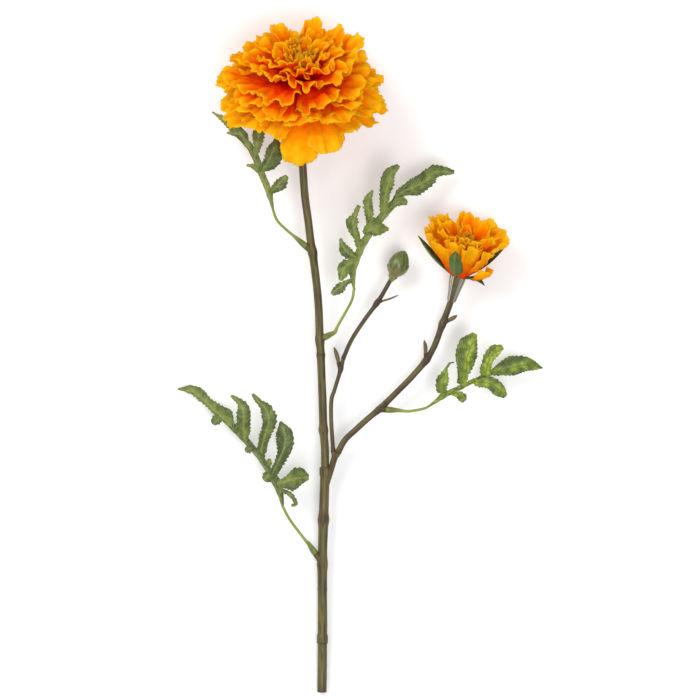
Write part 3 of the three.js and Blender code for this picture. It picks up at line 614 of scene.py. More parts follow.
def leaflet(bm, line, left, right, fold, rng, leaf_tone_offset, tooth=1.05, bow=1.5):
    """A toothed lobe of cloth along a line. left and right are its half widths in millimetres, fold is how
    steeply its halves rise from the midrib, tooth is the depth of its teeth, and bow is how far it arches
    between base and tip. grain keeps each point's distance from the midrib and along it."""
    points = [mm(*point) for point in line]
    length = sum((b - a).length for a, b in zip(points, points[1:])) / MM
    teeth = max(3, round(length / TOOTH_PITCH))
    rows = teeth * ROWS_PER_TOOTH
    stations = along(points, count=rows)
    shade, phase, tilt = rng.uniform(-0.07, 0.07), rng.uniform(0, 6.28), rng.uniform(-0.15, 0.15)
    tone, grain = bm.verts.layers.float["tone"], bm.verts.layers.float_vector["grain"]
    for vertex, across, share in sheet(bm, 10, rows):
        row = round(share * rows)
        centre = stations[row]
        ahead = (stations[min(row + 1, rows)] - stations[max(row - 1, 0)]).normalized()
        side = Vector((ahead.y, -ahead.x, 0)).normalized()
        width = read_width(right if across > 0 else left, share)
        uneven = 0.85 + 1.1 * noise.noise(Vector((share * 7, across, phase)))
        notch = tooth * uneven * ((share * teeth) % 1.0 - 0.4) * min(1.0, width / 2) * (1 - share ** 8)
        offset = across * (width + notch * across ** 4)
        wave = 0.45 * math.sin(phase + 9 * share + (2 if across > 0 else 0)) * abs(across) ** 2
        rise = fold * abs(offset) + tilt * offset + bow * math.sin(math.pi * share)
        quilt = 0.3 * math.sin(2 * math.pi * (share * teeth * 0.36 - 0.8 * abs(across)))
        quilt *= 1 - abs(across) ** 6
        spot = centre + side * offset * MM
        crumple = 0.9 * noise.noise(spot * 160 + Vector((phase, 0, 0))) * min(1.0, abs(offset) / 2)
        vertex.co = spot + Vector((0, 0, rise + wave + quilt + crumple)) * MM
        vertex[tone] = shade + leaf_tone_offset
        vertex[grain] = (offset, share * length, 0)


def finish_cloth(name, bm, materials, slot, node, thickness, offset=0.0):
    """Makes a sheet a shown piece and gives it its cloth's thickness, in millimetres."""
    piece = finish_piece(name, bm, materials, slot, node, closed=False)
    wall = piece.modifiers.new("cloth_thickness", "SOLIDIFY")
    wall.thickness = thickness * MM
    wall.offset = offset
    return wall


def blade(number, material, slot, leaf_tone_offset, rib, wing, lobes):
    """A leaf's midrib, which starts inside its stalk, and its cloth with a wing along the midrib. Each lobe
    has its line, its half widths to the left and right, and its fold."""
    rng = random.Random(101 * number)
    node = f"leaf_blade_{number}"
    before, last = stalk_points[number][-2:]
    line = [last + (last - before).normalized() * -1.2 * MM, *[mm(*point) for point in rib]]
    bm = new_form()
    sweep(bm, line, lambda place, share: (0.8 - 0.45 * share) * MM, 8, 1.5 * MM)
    finish_piece(f"leaf_midrib_{number}", bm, [STALK_PLASTIC], "stalk_plastic", node)

    bm = new_form()
    above_rib = [(point.x / MM, point.y / MM, point.z / MM + 0.7) for point in line]
    leaflet(bm, above_rib, *wing, 0.12, rng, leaf_tone_offset, tooth=0.3, bow=0.0)
    for points, left, right, fold in lobes:
        leaflet(bm, points, left, right, fold, rng, leaf_tone_offset)
    wall = finish_cloth(f"leaf_cloth_{number}", bm, [material, LEAF_BACK_AND_EDGE_HIGHLIGHT], slot, node, 0.35, offset=-1)
    wall.material_offset = 1
    # The cut edges take the pale unprinted cloth: partly its own colour, partly a painted highlight along the
    # margins.
    wall.material_offset_rim = 1


# The fourth value shifts the tone of a leaf's whole cloth: lighter for leaf 2, darker for leaves 3 and 4.
blade(1, LEAF_CLOTH, "leaf_fabric", 0.0,
      [(-57.7, 101.4, 32), (-62, 111.9, 31), (-67.6, 126.2, 29), (-75.6, 136.1, 25)],
      ([0.3, 1, 1, 1.2, 1.4, 1.6], [0.4, 3, 3, 3.2, 3, 2.5]), [
    ([(-74.4, 136.7, 26), (-81.8, 144.2, 22), (-91.8, 150.4, 18)],
     [3, 3.5, 3, 2.4, 1.2, 0.3], [3, 3.5, 3, 2.2, 1, 0.3], 0.1),
    ([(-70.7, 131.1, 28), (-74.4, 136.2, 28), (-82.7, 137.3, 27)],
     [1, 1.8, 2, 1.8, 1.2, 0.3], [2, 3.5, 4, 3.4, 2, 0.4], 0.25),
    ([(-65.7, 121.8, 30), (-63.9, 129.3, 31), (-62.6, 136.7, 31), (-62, 142.9, 30)],
     [1.5, 1.5, 2.5, 4, 3.6, 1], [1.5, 2.2, 3, 3.6, 3.6, 1], 0.3),
    ([(-60.5, 113.8, 32), (-55.8, 121.8, 34), (-52.7, 129.3, 34), (-52.3, 134.2, 33)],
     [1.5, 2.5, 3.4, 4.4, 3, 0.5], [1.5, 5.4, 7.2, 6.8, 4.6, 0.5], 0.35),
    ([(-62.6, 112.5, 31.5), (-65.7, 116.3, 33), (-70.3, 117.2, 34)],
     [0.8, 1.2, 1.6, 1.5, 1, 0.3], [0.8, 1.2, 1.6, 1.5, 1, 0.3], 0.4),
    ([(-55.5, 100.1, 32.5), (-50.8, 105.1, 35), (-45.6, 111.0, 36)],
     [1, 2.2, 2.6, 2.6, 2, 0.5], [1, 2.6, 4.2, 5, 3.6, 1.6], 0.3),
])

blade(2, LEAF_CLOTH, "leaf_fabric", 0.03,
      [(-3.4, 48, 26), (-2.0, 55.5, 26), (5.6, 72.2, 25), (19.2, 91.5, 22), (27, 98, 20)],
      ([0.4, 4.6, 3.6, 3.4, 3, 2], [0.3, 0.6, 0.6, 1.2, 2, 2.2]), [
    ([(20, 93.9, 22.5), (25.7, 100.3, 22), (35.2, 104.7, 20), (41.5, 108.5, 18), (47.1, 113.2, 15.5),
      (58.6, 112.8, 12)],
     [1, 3.2, 5.4, 5.4, 4, 1.6], [1, 2.6, 6, 4.6, 2.8, 0.6], 0.3),
    ([(19.8, 92.1, 22.5), (24.2, 94.6, 23), (29.3, 93.6, 22)],
     [1, 2, 2.5, 3, 3, 1], [1, 2, 2.6, 2.2, 1.6, 0.8], 0.2),
    ([(14.9, 87.1, 23.5), (15.5, 95.8, 26), (17.4, 105.1, 28), (19.2, 111.3, 28.5), (24.4, 117, 27)],
     [2, 3, 4.2, 5.2, 4.6, 1.6], [2, 2.6, 2.4, 3.6, 2.2, 0.6], 0.35),
    ([(5.6, 77.8, 25), (5.6, 86.5, 28.5), (5, 93.9, 31), (8, 101.8, 32)],
     [1, 1.8, 2.6, 3, 3, 0.3], [1, 1.8, 3, 3, 1.6, 0.3], 0.35),
    ([(1.9, 75.3, 25.5), (7.4, 77.8, 26), (12.4, 77.5, 23), (17.9, 77.8, 19)],
     [1, 3.6, 7.2, 6, 3.2, 0.8], [1, 2.4, 4.8, 3.8, 2.2, 0.6], 0.3),
    ([(-0.6, 66.7, 26), (-2.5, 74.1, 29), (-4.3, 80.9, 31.5), (-2.5, 87.7, 32.5), (-0.9, 92.5, 32)],
     [2, 1.8, 3.4, 4.6, 1.6, 1], [2, 2.2, 2.4, 3, 1.2, 1.6], 0.35),
    ([(-0.5, 59.5, 26), (-5, 61.5, 27), (-9.3, 65, 28), (-12.3, 72, 29)],
     [1.4, 2.2, 3.8, 3.6, 2, 0.4], [1.2, 2, 3.2, 3, 1.8, 0.4], 0.3),
    ([(-1.8, 57.2, 26), (-5.5, 56.8, 27), (-9.9, 53.6, 28), (-12.3, 45.8, 28.5)],
     [1.2, 2.4, 4.4, 4.6, 3.6, 0.6], [1.2, 2.2, 4, 3.8, 2.2, 0.6], 0.35),
    ([(-3.2, 46, 26), (-7.8, 45.2, 27), (-13.6, 41.2, 28), (-17.6, 37.4, 28)],
     [1.2, 1.4, 2.4, 4.2, 3.6, 1.2], [1, 1, 1.6, 2.4, 2, 0.8], 0.3),
])

blade(3, LEAF_CLOTH, "leaf_fabric", -0.05,
      [(-51.5, -84, 18.5), (-58.9, -70.4, 18.5), (-67, -59.2, 18), (-86.2, -38.1, 14.5)],
      ([0.5, 0.8, 0.8, 0.8, 1, 1.5], [0.5, 5, 3, 3, 3.4, 2.5]), [
    ([(-79, -45.4, 16.5), (-84, -40.4, 15.5), (-90.5, -34.4, 14), (-97.3, -28.2, 12), (-104.2, -22.9, 9),
      (-113.2, -21.4, 5)],
     [0.6, 1.6, 2, 1.8, 2, 1.6, 0.3], [1, 7.2, 5.2, 3.6, 4.8, 3.2, 0.4], 0.2),
    ([(-85.5, -39, 15.5), (-89.3, -41.2, 15), (-91.2, -43.4, 14)],
     [1, 2, 3, 3, 2.4, 1], [1, 2.5, 3.5, 3.5, 2.8, 1.2], 0.1),
    ([(-71.2, -54.5, 17.6), (-72.3, -47.4, 18.5), (-72.3, -38.4, 21.5), (-73.4, -31.6, 22.5),
      (-79.8, -25.3, 21)],
     [0.8, 4.6, 4.2, 4.2, 1.6, 0.6], [0.6, 4.4, 4.4, 4.6, 2.6, 0.6], 0.3),
    ([(-60.5, -67.5, 18.3), (-61.2, -59.5, 19), (-58.9, -49.9, 22), (-56.4, -40.6, 25),
      (-58.3, -33.8, 25.5), (-62.6, -29.5, 25), (-66.8, -24.4, 23)],
     [0.8, 2.6, 3, 3.4, 4.4, 1.8, 0.8], [0.8, 3.2, 3.2, 4.6, 4.4, 2.2, 0.8], 0.3),
    ([(-54.6, -74.1, 19), (-50.8, -66.7, 22), (-47.1, -58, 24.5), (-46.5, -50.5, 24.5),
      (-49.3, -41.4, 22.5)],
     [1.5, 2, 3, 5.6, 5.6, 0.5], [3, 3.7, 4.4, 5.4, 5, 0.5], 0.3),
    ([(-52.1, -80.3, 19), (-45.3, -78.4, 20), (-38.4, -76.6, 18.5), (-31.7, -76.6, 16)],
     [1.5, 2, 3.6, 6.6, 6.2, 2], [1.5, 3.5, 7, 6.2, 3.8, 1], 0.25),
    ([(-52.1, -82.8, 19), (-43.4, -86.8, 21), (-40, -92.1, 19), (-42.6, -93.7, 17)],
     [1, 1.2, 1.4, 1.4, 1.2, 0.8], [1, 1.2, 1.2, 1.2, 1, 0.6], 0.9),
    ([(-66.5, -57.8, 18.5), (-71.4, -59.6, 17)],
     [1.5, 2, 2.6, 2.6, 2, 0.8], [1.5, 2, 2.6, 2.4, 1.8, 0.8], 0.2),
    ([(-55.8, -74.1, 19), (-59.8, -78.0, 17.5)], [1.5, 3, 4, 4, 3, 1.2], [1.5, 2.6, 3.4, 3, 2.4, 1], 0.25),
    ([(-57.6, -69.5, 19), (-55.8, -64.6, 22)], [1, 2, 2.2, 2, 1.4, 0.6], [1, 2, 2.2, 2, 1.4, 0.6], 0.6),
])

blade(4, BRIGHT_LEAF_CLOTH, "bright_leaf_fabric", -0.01,
      [(48.5, -28.8, 19.5), (53.9, -25.4, 19.5), (68.8, -17.7, 18), (82.5, -11.3, 15)],
      ([0.3, 2.8, 2.2, 1.8, 1.6, 1.2], [0.3, 0.7, 0.9, 0.9, 0.9, 0.8]), [
    ([(80.8, -11.8, 15.8), (96.3, -7.7, 12.5), (104, -6.4, 10), (113.4, -8.4, 6)],
     [1, 5, 7.5, 6, 3.4, 0.3], [0.8, 3, 5, 4.4, 3.2, 0.3], 0.35),
    ([(62.9, -19.0, 19), (65, -14.6, 20.5), (66, -7.4, 23), (66.5, -1.2, 25), (69.1, 6, 26),
      (72.2, 12.6, 25)],
     [3.4, 5, 6.2, 7.8, 8, 2.6], [1.5, 1.8, 4.6, 6, 3.8, 0.5], 0.3),
    ([(77.4, -13.8, 16.5), (79.9, -3.8, 19.5), (83.5, 0.8, 20.5), (88.9, 4.2, 20)],
     [2.5, 4, 3.7, 4.6, 5, 2.2], [3, 2.8, 2.5, 3, 2.6, 0.5], 0.3),
    ([(69.5, -16.8, 18), (79.4, -17.7, 18.5), (84.9, -20.8, 17.5), (90.4, -26, 15)],
     [1, 2, 4.3, 4.5, 3.8, 1.4], [1, 3, 3.2, 4, 4.2, 1.4], 0.25),
    ([(56, -22.6, 19.5), (61.4, -25.1, 19), (65, -29, 16.5)],
     [1, 1.5, 2.2, 3, 3.2, 1.6], [1, 1.8, 2.2, 2.4, 2.6, 1.6], 0.2),
    ([(52.5, -25, 20), (51.5, -17.7, 24), (53.6, -8.0, 26)],
     [1, 4.5, 4.6, 4.2, 2.4, 0.3], [1.5, 1.8, 3, 3.3, 2, 0.3], 0.35),
    ([(53.5, -8.8, 26), (55.5, -5.6, 26.5), (58.3, -4.8, 26)],
     [0.6, 0.6, 0.6, 0.5, 0.4, 0.2], [0.6, 0.6, 0.6, 0.5, 0.4, 0.2], 0.5),
])

# ---- Bud, its neck and its short sepals ----
# A solid moulded bud, glossy dark green with shallow lengthwise ridges, standing in a thin-walled olive cup
# whose short pointed sepals hug its lower half.


def glossy_plastic(name, dark, light, foot, ribs, rib_highlight_colour, gloss):
    """Moulded polyethylene with a pearly skin: smooth and glossy, with a pale painted highlight along its rib
    crests.
    """
    material, tree, shader = new_material(name)
    grain = add(tree, "Attribute", attribute_name="grain").outputs["Vector"]
    tone = add(tree, "Attribute", attribute_name="tone").outputs["Fac"]
    # Pigment drifts along the flow of the mould, in streaks 1.5 mm wide and 6 mm long.
    drift = drawn_noise(tree, (0.65, 0.65, 0.16), 1.0, 3.0)
    base = add(tree, "ValToRGB", {"Fac": drift}, stops=[(0.3, dark), (0.72, light)])
    distance = add(tree, "SeparateXYZ", {0: grain}).outputs["Z"]
    low = add(tree, "MapRange", {"Value": distance, "From Min": 9.0, "From Max": 0.0, "To Max": 0.7})
    painted = add(tree, "Mix", {0: low, 6: base, 7: hex_colour(foot)}, data_type="RGBA")
    # Rib crests, and the edges of the bud's sepals, turn pale: a painted highlight.
    rib_highlight_mask = add(tree, "MapRange", {"Value": tone, "From Min": 0.3, "From Max": 0.9, "To Max": ribs})
    colour = add(tree, "Mix", {0: rib_highlight_mask, 6: painted, 7: hex_colour(rib_highlight_colour)}, data_type="RGBA")
    fill(tree, shader, {"Base Color": colour, "Roughness": gloss, "Subsurface Weight": 0.08,
                        "Subsurface Radius": (0.0008, 0.001, 0.0004)})
    return material


# The two values before the gloss are the amount and colour of the painted rib highlight.
BUD_GREEN = glossy_plastic(
    "glossy_bud_green_polyethylene", "#3e4c1e", "#667438", "#5c5a30", 0.3, "#8f9664", 0.28)
CALYX_PLASTIC = glossy_plastic(
    "translucent_olive_polyethylene", "#4a4226", "#655e3a", "#4a3024", 0.95, "#e0d8d0", 0.26)
NECK_PLASTIC = glossy_plastic(
    "olive_brown_polyethylene", "#666a2c", "#868a46", "#6a6038", 0.25, "#a8aa78", 0.32)
POLE_RADIUS = 0.05


def ribbed_form(bm, profile, start, heading, ribs, depth, phase=0.3, skew=0.0, pair=0.0, sharp=8):
    """A turned form on a heading: profile gives distance and radius in mm; ribs of a given depth, in mm, run
    along it, in pairs when pair is their half spacing in radians, and tone marks their crests, which the
    material paints with a pale highlight."""
    tone = bm.verts.layers.float["tone"]
    length = profile[-1][0]

    def radius_at(place, share):
        distance = share * length
        for (d0, r0), (d1, r1) in zip(profile, profile[1:]):
            if distance <= d1:
                blend = (distance - d0) / (d1 - d0)
                return (r0 + (r1 - r0) * blend) * MM
        return profile[-1][1] * MM

    sweep(bm, [start, start + heading * length * MM], radius_at, 48, 0.5 * MM)
    grain = bm.verts.layers.float_vector["grain"]
    for vertex in bm.verts:
        x, y, distance = vertex[grain]
        radius = math.hypot(x, y)
        if radius < POLE_RADIUS:
            continue
        angle = math.atan2(y, x) + skew * distance / length
        crest = max(abs(math.cos(ribs * (angle + part) / 2 + phase)) ** sharp for part in (-pair, pair))
        vertex[tone] = crest
        axis_point = start + heading * heading.dot(vertex.co - start)
        outward = vertex.co - axis_point
        vertex.co = vertex.co + outward.normalized() * depth * crest * min(1.0, radius / 2) * MM


bud_heading = mm(7.9, 16.8, 1.4).normalized()
cup_foot = mm(19.3, 46.2, 12.9) - bud_heading * 0.8 * MM
bm = new_form()
cup_profile = [(0, 1.3), (0.6, 1.5), (1.6, 1.9), (2.8, 2.8), (3.4, 3.2), (3.7, 2.9)]
ribbed_form(bm, cup_profile, cup_foot, bud_heading, 6, 0.12)
finish_piece("bud_neck", bm, [NECK_PLASTIC], "calyx_plastic", "bud_calyx")

egg_foot = cup_foot + bud_heading * 3.4 * MM
EGG_LENGTH, EGG_RADIUS, EGG_STEPS = 17.5, 6.2, 40


def egg_radius(distance):
    """The bud's radius at a distance from its foot, in millimetres."""
    return EGG_RADIUS * max(0.0, math.sin(math.pi * min(1.0, distance / EGG_LENGTH) ** 0.9)) ** 0.62


bm = new_form()
tone = bm.verts.layers.float["tone"]
upright = bud_heading.to_track_quat("Z", "Y")
for turn, reach, breadth in [
        (165, 11, 6.6), (232, 7.6, 5.8), (295, 8.4, 5.8), (350, 6.2, 5.2), (42, 6.8, 5.4), (104, 8.2, 5.8)]:
    for vertex, across, share in sheet(bm, 8, 14):
        distance = reach * share - 0.5
        radius = max(2.4, egg_radius(max(0.0, distance))) + 0.4 + 0.15 * share ** 3
        half = breadth / 2 * (1 - share ** 3) * min(1.0, 0.55 + share) + 0.12
        angle = math.radians(turn) + across * half / radius
        spot = Vector((radius * math.cos(angle), radius * math.sin(angle), distance))
        vertex.co = egg_foot + upright @ spot * MM
        # Their edges take the pale rib colour: a painted highlight along the rims.
        vertex[tone] = 0.8 * abs(across) ** 5
finish_cloth("bud_sepals", bm, [NECK_PLASTIC], "calyx_plastic", "bud_calyx", 0.35)

bm = new_form()
egg = [(EGG_LENGTH * i / EGG_STEPS, egg_radius(EGG_LENGTH * i / EGG_STEPS)) for i in range(EGG_STEPS + 1)]
ribbed_form(bm, egg, egg_foot, bud_heading, 9, 0.22, phase=0.9, skew=0.5)
finish_piece("moulded_bud", bm, [BUD_GREEN], "bud_plastic", "bud")

# ---- Petal cloth ----
# Each row of the flowers is polyester cloth cut in wide scalloped lobes and pressed with a ruffle that grows
# towards its margin. It is dyed golden, with red sprayed into its heart.


def petal_cloth(name, dyes):
    """Dyed and pressed polyester: soft and dull, glowing a little where light comes through it. dyes are its
    colours from the foot of a lobe to its margin."""
    material, tree, shader = new_material(name)
    uv = add(tree, "UVMap", uv_map="UVMap")
    tone = add(tree, "Attribute", attribute_name="tone").outputs["Fac"]
    solid = add(tree, "TexCoord").outputs["Object"]
    # The dye wanders by a few millimetres, and darker veins 1.2 mm apart run from heart to margin.
    wander = add(tree, "TexNoise", {"Vector": solid, "Scale": 200.0, "Detail": 4.0, "Roughness": 0.6})
    veining = add(tree, "Mapping", {0: uv, "Scale": (18.0, 1.3, 1.0)})
    vein = add(tree, "TexNoise", {"Vector": veining, "Scale": 1.0, "Detail": 3.0, "Roughness": 0.65})
    pushed = add(tree, "Math", {0: wander, 1: 0.4, 2: tone}, operation="MULTIPLY_ADD")
    spread = add(tree, "Math", {0: vein, 1: 0.12, 2: pushed}, operation="MULTIPLY_ADD")
    place = add(tree, "Math", {0: spread, 1: 0.26}, operation="SUBTRACT")
    colour = add(tree, "ValToRGB", {"Fac": place}, stops=dyes)
    # Weave drawn at 0.5 mm because the real threads are too fine, over pressed pleats that follow the veins.
    weave = add(tree, "TexNoise", {"Vector": solid, "Scale": 2000.0, "Detail": 1.0})
    relief = add(tree, "Math", {0: weave, 1: 0.25, 2: vein}, operation="MULTIPLY_ADD")
    bump = add(tree, "Bump", {"Height": relief, "Strength": 0.45, "Distance": 0.5 * MM})
    through = add(tree, "BsdfTranslucent", {"Color": colour})
    mixed = add(tree, "MixShader", {0: 0.54, 1: shader, 2: through})
    fill(tree, tree.nodes["Material Output"], {"Surface": mixed})
    fill(tree, shader, {"Base Color": colour, "Normal": bump, "Roughness": 0.75,
                        "Specular IOR Level": 0.05})
    return material


PETAL_CLOTH = petal_cloth("golden_petal_polyester_cloth", [
    (0.0, "#ff3606"), (1.0, "#fad41c"), (0.2, "#ff4e04"), (0.38, "#ff6802"), (0.54, "#ff8600"),
    (0.69, "#fea402"), (0.84, "#fcc00a")])
HEART_CLOTH = petal_cloth("ochre_heart_polyester_cloth", [
    (0.0, "#e03000"), (1.0, "#f0c22a"), (0.3, "#f06400"), (0.55, "#ea8c08"), (0.78, "#e8a814")])


RUFFLE_PITCH, RUFFLE_START = 11, 0.42
SCALLOP_PITCH, SCALLOP_DEPTH = 2.8, 1.3
CRUMPLES = [(2.4, 11), (1.5, 5), (0.8, 2.4)]
FLOOR_GAP = 0.5 * MM


def petal(bm, bloom, rng, turn, lean, bow, length, spread, ring, ruffle, waves=None, shade=0.0, cup=0.0,
          skew=0.0, crumple=1.0, notch=1.0, columns=50, rows=28):
    """One lobe. turn and lean are its place round the flower and its angle from the flower's axis, bow is how
    far it bends along its length, spread is the angle that it fills, all in degrees. Lengths are in mm: its
    own, its ring's radius and height, its ruffle's swell. cup lifts both its sides, skew one of them.
    A shade below 0 is redder and above 0 yellower."""
    start, bend = math.radians(lean - bow), math.radians(2 * bow)
    bend = bend if abs(bend) > 0.01 else 0.01
    radius0, height0 = ring
    width = math.radians(spread) * (radius0 + length * math.sin(math.radians(lean)))
    waves = waves or max(1.0, width / RUFFLE_PITCH)
    phase, phase2, phase3 = (rng.uniform(0, 6.28) for _ in range(3))
    seed = Vector((rng.uniform(0, 90), rng.uniform(0, 90), 0))
    scallops = max(5, round(width / SCALLOP_PITCH))
    tone = bm.verts.layers.float["tone"]
    for vertex, u, s in sheet(bm, columns, rows):
        ragged = noise.noise(seed + Vector((u * 2.6, 0, 0)))
        scallop = abs(math.sin(math.pi * scallops * (u + 0.2 * ragged) / 2 + phase3)) ** 0.6
        margin = 3.4 * ragged + SCALLOP_DEPTH * (scallop - 0.7)
        reach = length * (1 - 0.2 * abs(u) ** 2.8) + notch * margin * s ** 4
        distance = s * reach
        swing = start + bend * s
        radial = radius0 + distance * (math.cos(start) - math.cos(swing)) / (bend * s if s > 0 else 1)
        height = height0 + distance * (math.sin(swing) - math.sin(start)) / (bend * s if s > 0 else 1)
        theta = math.pi * waves * u + phase + 0.8 * math.sin(phase2 + 2.2 * u)
        theta += 1.5 * noise.noise(seed + Vector((u * 1.4, s * 1.2, 2)))
        grow = max(0.0, (s - RUFFLE_START) / (1 - RUFFLE_START)) ** 1.8
        swell = ruffle * (0.7 + 0.5 * noise.noise(seed + Vector((u * 1.7, s * 1.5, 4))))
        lift = grow * swell * (math.sin(theta) + 0.34 * math.sin(2.3 * theta + phase2))
        flat = Vector((u * width * (0.3 + 0.7 * s) / 2, distance, 0))
        folds = sum(depth * noise.noise(seed * number + flat / pitch)
                    for number, (depth, pitch) in enumerate(CRUMPLES, 1))
        lift += crumple * folds * min(1.0, 1.6 * s)
        lift += (cup * u * u + skew * u) * s
        slide = -0.4 * grow * swell * math.sin(2 * theta)
        angle = math.radians(turn) + math.radians(spread) / 2 * u * (0.55 + 0.45 * min(1.0, s * 2.2))
        angle += slide / max(radial, 4.0)
        radial -= lift * math.cos(swing)
        height += lift * math.sin(swing)
        vertex.co = bloom @ Vector((radial * math.sin(angle), height, radial * math.cos(angle)))
        vertex.co.z = max(vertex.co.z, FLOOR_GAP)
        # The sine term makes the hollows of the ruffle a little redder and its crests yellower: painted shade
        # in the folds.
        vertex[tone] = s + shade * (1 - s ** (7 if shade < 0 else 1)) + 0.05 * math.sin(theta) * s


def bloom_frame(hub, level, axis, front):
    """From a flower's own axes, in millimetres, to the room."""
    columns = Matrix((level, axis, front)).transposed().to_4x4()
    return Matrix.Translation(hub) @ columns @ Matrix.Scale(MM, 4)


PETAL_WALL = 0.3

# ---- Large flower ----
# Eight rows of lobes on one core. The lowest row droops over a ribbed calyx with a star of cloth sepals, the
# rows above it stand steeper and steeper, and short folded florets fill the heart.

large = bloom_frame(
    mm(-36, 162.8, 47.8), Vector((1, 0, 0)), Vector((0, 0.819, 0.574)), Vector((0, -0.574, 0.819)))
RING_RADIUS, FIRST_RING, ROW_PITCH = 2.3, 0.8, 1.3
FRONT_TURN = 26

# The lowest row: turn, lean, bow, length, spread and shade of each lobe. The two at the front are smoothest.
rng = random.Random(11)
bm = new_form()
for turn, lean, bow, length, spread, shade in [
        (-1, 118, 40, 55, 38, 0.24), (23, 110, 26, 50.5, 38, 0.2), (-27, 100, 14, 43, 34, 0.04),
        (-50, 101, 12, 43.5, 34, 0.06), (-70, 105, 12, 49.5, 36, 0.08), (-94, 106, 12, 50, 36, 0.06),
        (49, 104, 14, 44.5, 36, 0.06), (69, 106, 10, 49, 24, 0.04), (90, 104, 12, 51.5, 34, 0.06),
        (118, 104, 12, 50, 40, 0.0), (150, 104, 10, 50, 40, 0.0), (182, 104, 10, 49.5, 40, 0.0),
        (214, 104, 10, 50, 40, 0.0), (243, 104, 12, 50.5, 38, 0.0)]:
    smooth = abs(turn) < FRONT_TURN
    petal(bm, large, rng, turn, lean, bow, length, spread, (RING_RADIUS, FIRST_RING), 1.2 if smooth else 2.2,
          shade=shade, crumple=0.55 if smooth else 1.0)
finish_cloth("petal_cloth_1", bm, [PETAL_CLOTH], "petal_fabric", "petal_layer_1", PETAL_WALL)

# The rows above it, lowest first: shade, how much redder the front lobes are, and then the turn, lean, bow,
# length, spread and ruffle of each lobe. That extra red is partly the heart's red dye and partly painted
# shade deep between the rows.
row_plan = [
    (0.04, 0.16, [
        (-3, 90, 14, 41, 42, 1.3), (34, 89, 12, 45, 36, 1.5), (-33, 89, 14, 44, 34, 1.5),
        (66, 89, 10, 49, 34, 1.8), (-63, 91, 12, 48, 34, 2.0), (96, 84, 10, 48, 30, 2.2),
        (-94, 88, 10, 51.5, 36, 2.4), (128, 80, 8, 35, 36, 2.0), (-126, 87, 8, 46, 36, 2.2),
        (160, 90, 8, 44, 38, 2.2), (-160, 90, 8, 45, 38, 2.2)]),
    (-0.02, 0.28, [
        (14, 85, 14, 40, 36, 1.5), (-20, 86, 12, 42, 38, 1.5), (48, 81, 10, 45, 34, 1.8),
        (-54, 84, 12, 46, 36, 1.8), (82, 80, 10, 45, 32, 2.4), (-86, 80, 8, 47, 34, 2.4),
        (112, 72, 8, 31, 36, 2.2), (-113, 78, 8, 43, 42, 2.4), (146, 80, 8, 42, 38, 2.2),
        (-150, 80, 8, 42, 38, 2.2)]),
    (-0.05, 0.36, [
        (16, 74, 20, 41, 44, 3.0), (-26, 72, 20, 41, 44, 3.2), (56, 73, 14, 43, 42, 2.8),
        (-66, 72, 12, 46, 38, 2.8), (90, 70, 10, 42, 32, 2.6), (-98, 70, 10, 46, 34, 2.6),
        (124, 64, 8, 37, 34, 2.4), (-120, 66, 8, 40.5, 38, 2.6), (-158, 68, 8, 42, 38, 2.4),
        (162, 68, 8, 42, 38, 2.4)]),
    (0.0, 0.37, [
        (4, 56, 16, 36, 50, 2.8), (-42, 56, 14, 38, 46, 2.8), (46, 58, 14, 38, 44, 2.8),
        (86, 58, 12, 40, 40, 2.6), (-84, 58, 12, 41, 40, 2.6), (114, 56, 6, 45, 32, 2.2),
        (131, 46, 6, 40.5, 34, 2.2), (163, 44, 4, 40, 32, 1.6), (-143, 43, 6, 38.5, 34, 2.0),
        (-120, 57, 8, 37.5, 28, 2.4), (190, 40, 6, 29, 30, 2.2)]),
    (-0.04, 0.32, [
        (-16, 45, 16, 32, 50, 2.6), (34, 44, 14, 33, 48, 2.6), (-64, 46, 14, 35, 46, 2.6),
        (80, 46, 12, 35, 44, 2.6), (124, 44, 10, 32, 42, 2.4), (160, 42, 8, 31, 38, 2.2),
        (-160, 42, 8, 28, 36, 2.2), (-112, 44, 10, 35, 42, 2.4)]),
    (-0.06, 0.2, [
        (10, 34, 16, 27, 54, 2.4), (-44, 36, 14, 29, 52, 2.4), (62, 34, 12, 29, 50, 2.4),
        (112, 33, 10, 28, 50, 2.2), (164, 32, 8, 26, 50, 2.2), (-148, 32, 8, 26, 50, 2.2),
        (-96, 34, 12, 29, 50, 2.4)]),
    (-0.08, 0.12, [
        (30, 23, 14, 22, 62, 2.0), (-32, 24, 14, 22, 62, 2.0), (92, 22, 12, 22, 62, 2.0),
        (154, 22, 10, 21, 62, 2.0), (-144, 22, 10, 21, 62, 2.0), (-90, 23, 12, 22, 62, 2.0)]),
]
for row, (shade, front_red_dye_and_shade, lobes) in enumerate(row_plan, 2):
    rng = random.Random(20 + row)
    bm = new_form()
    for turn, lean, bow, length, spread, ruffle in lobes:
        # Front and rear lobes turn redder: partly the heart's red dye, partly painted shade between the rows
        # and on the rear lobes.
        ahead = max(0.0, math.cos(math.radians(turn + 12)))
        red_dye_and_shade = front_red_dye_and_shade * ahead ** 0.7 + 0.16 * max(0.0, math.cos(math.radians(turn + 160)))
        petal(bm, large, rng, turn + rng.uniform(-3, 3), lean + rng.uniform(-3, 3), bow, length, spread * 1.1,
              (RING_RADIUS, FIRST_RING + ROW_PITCH * (row - 1)), ruffle * rng.uniform(0.8, 1.2),
              shade=shade - red_dye_and_shade, skew=rng.uniform(-4, 4), cup=rng.uniform(-2, 5))
    finish_cloth(f"petal_cloth_{row}", bm, [PETAL_CLOTH], "petal_fabric", f"petal_layer_{row}", PETAL_WALL)

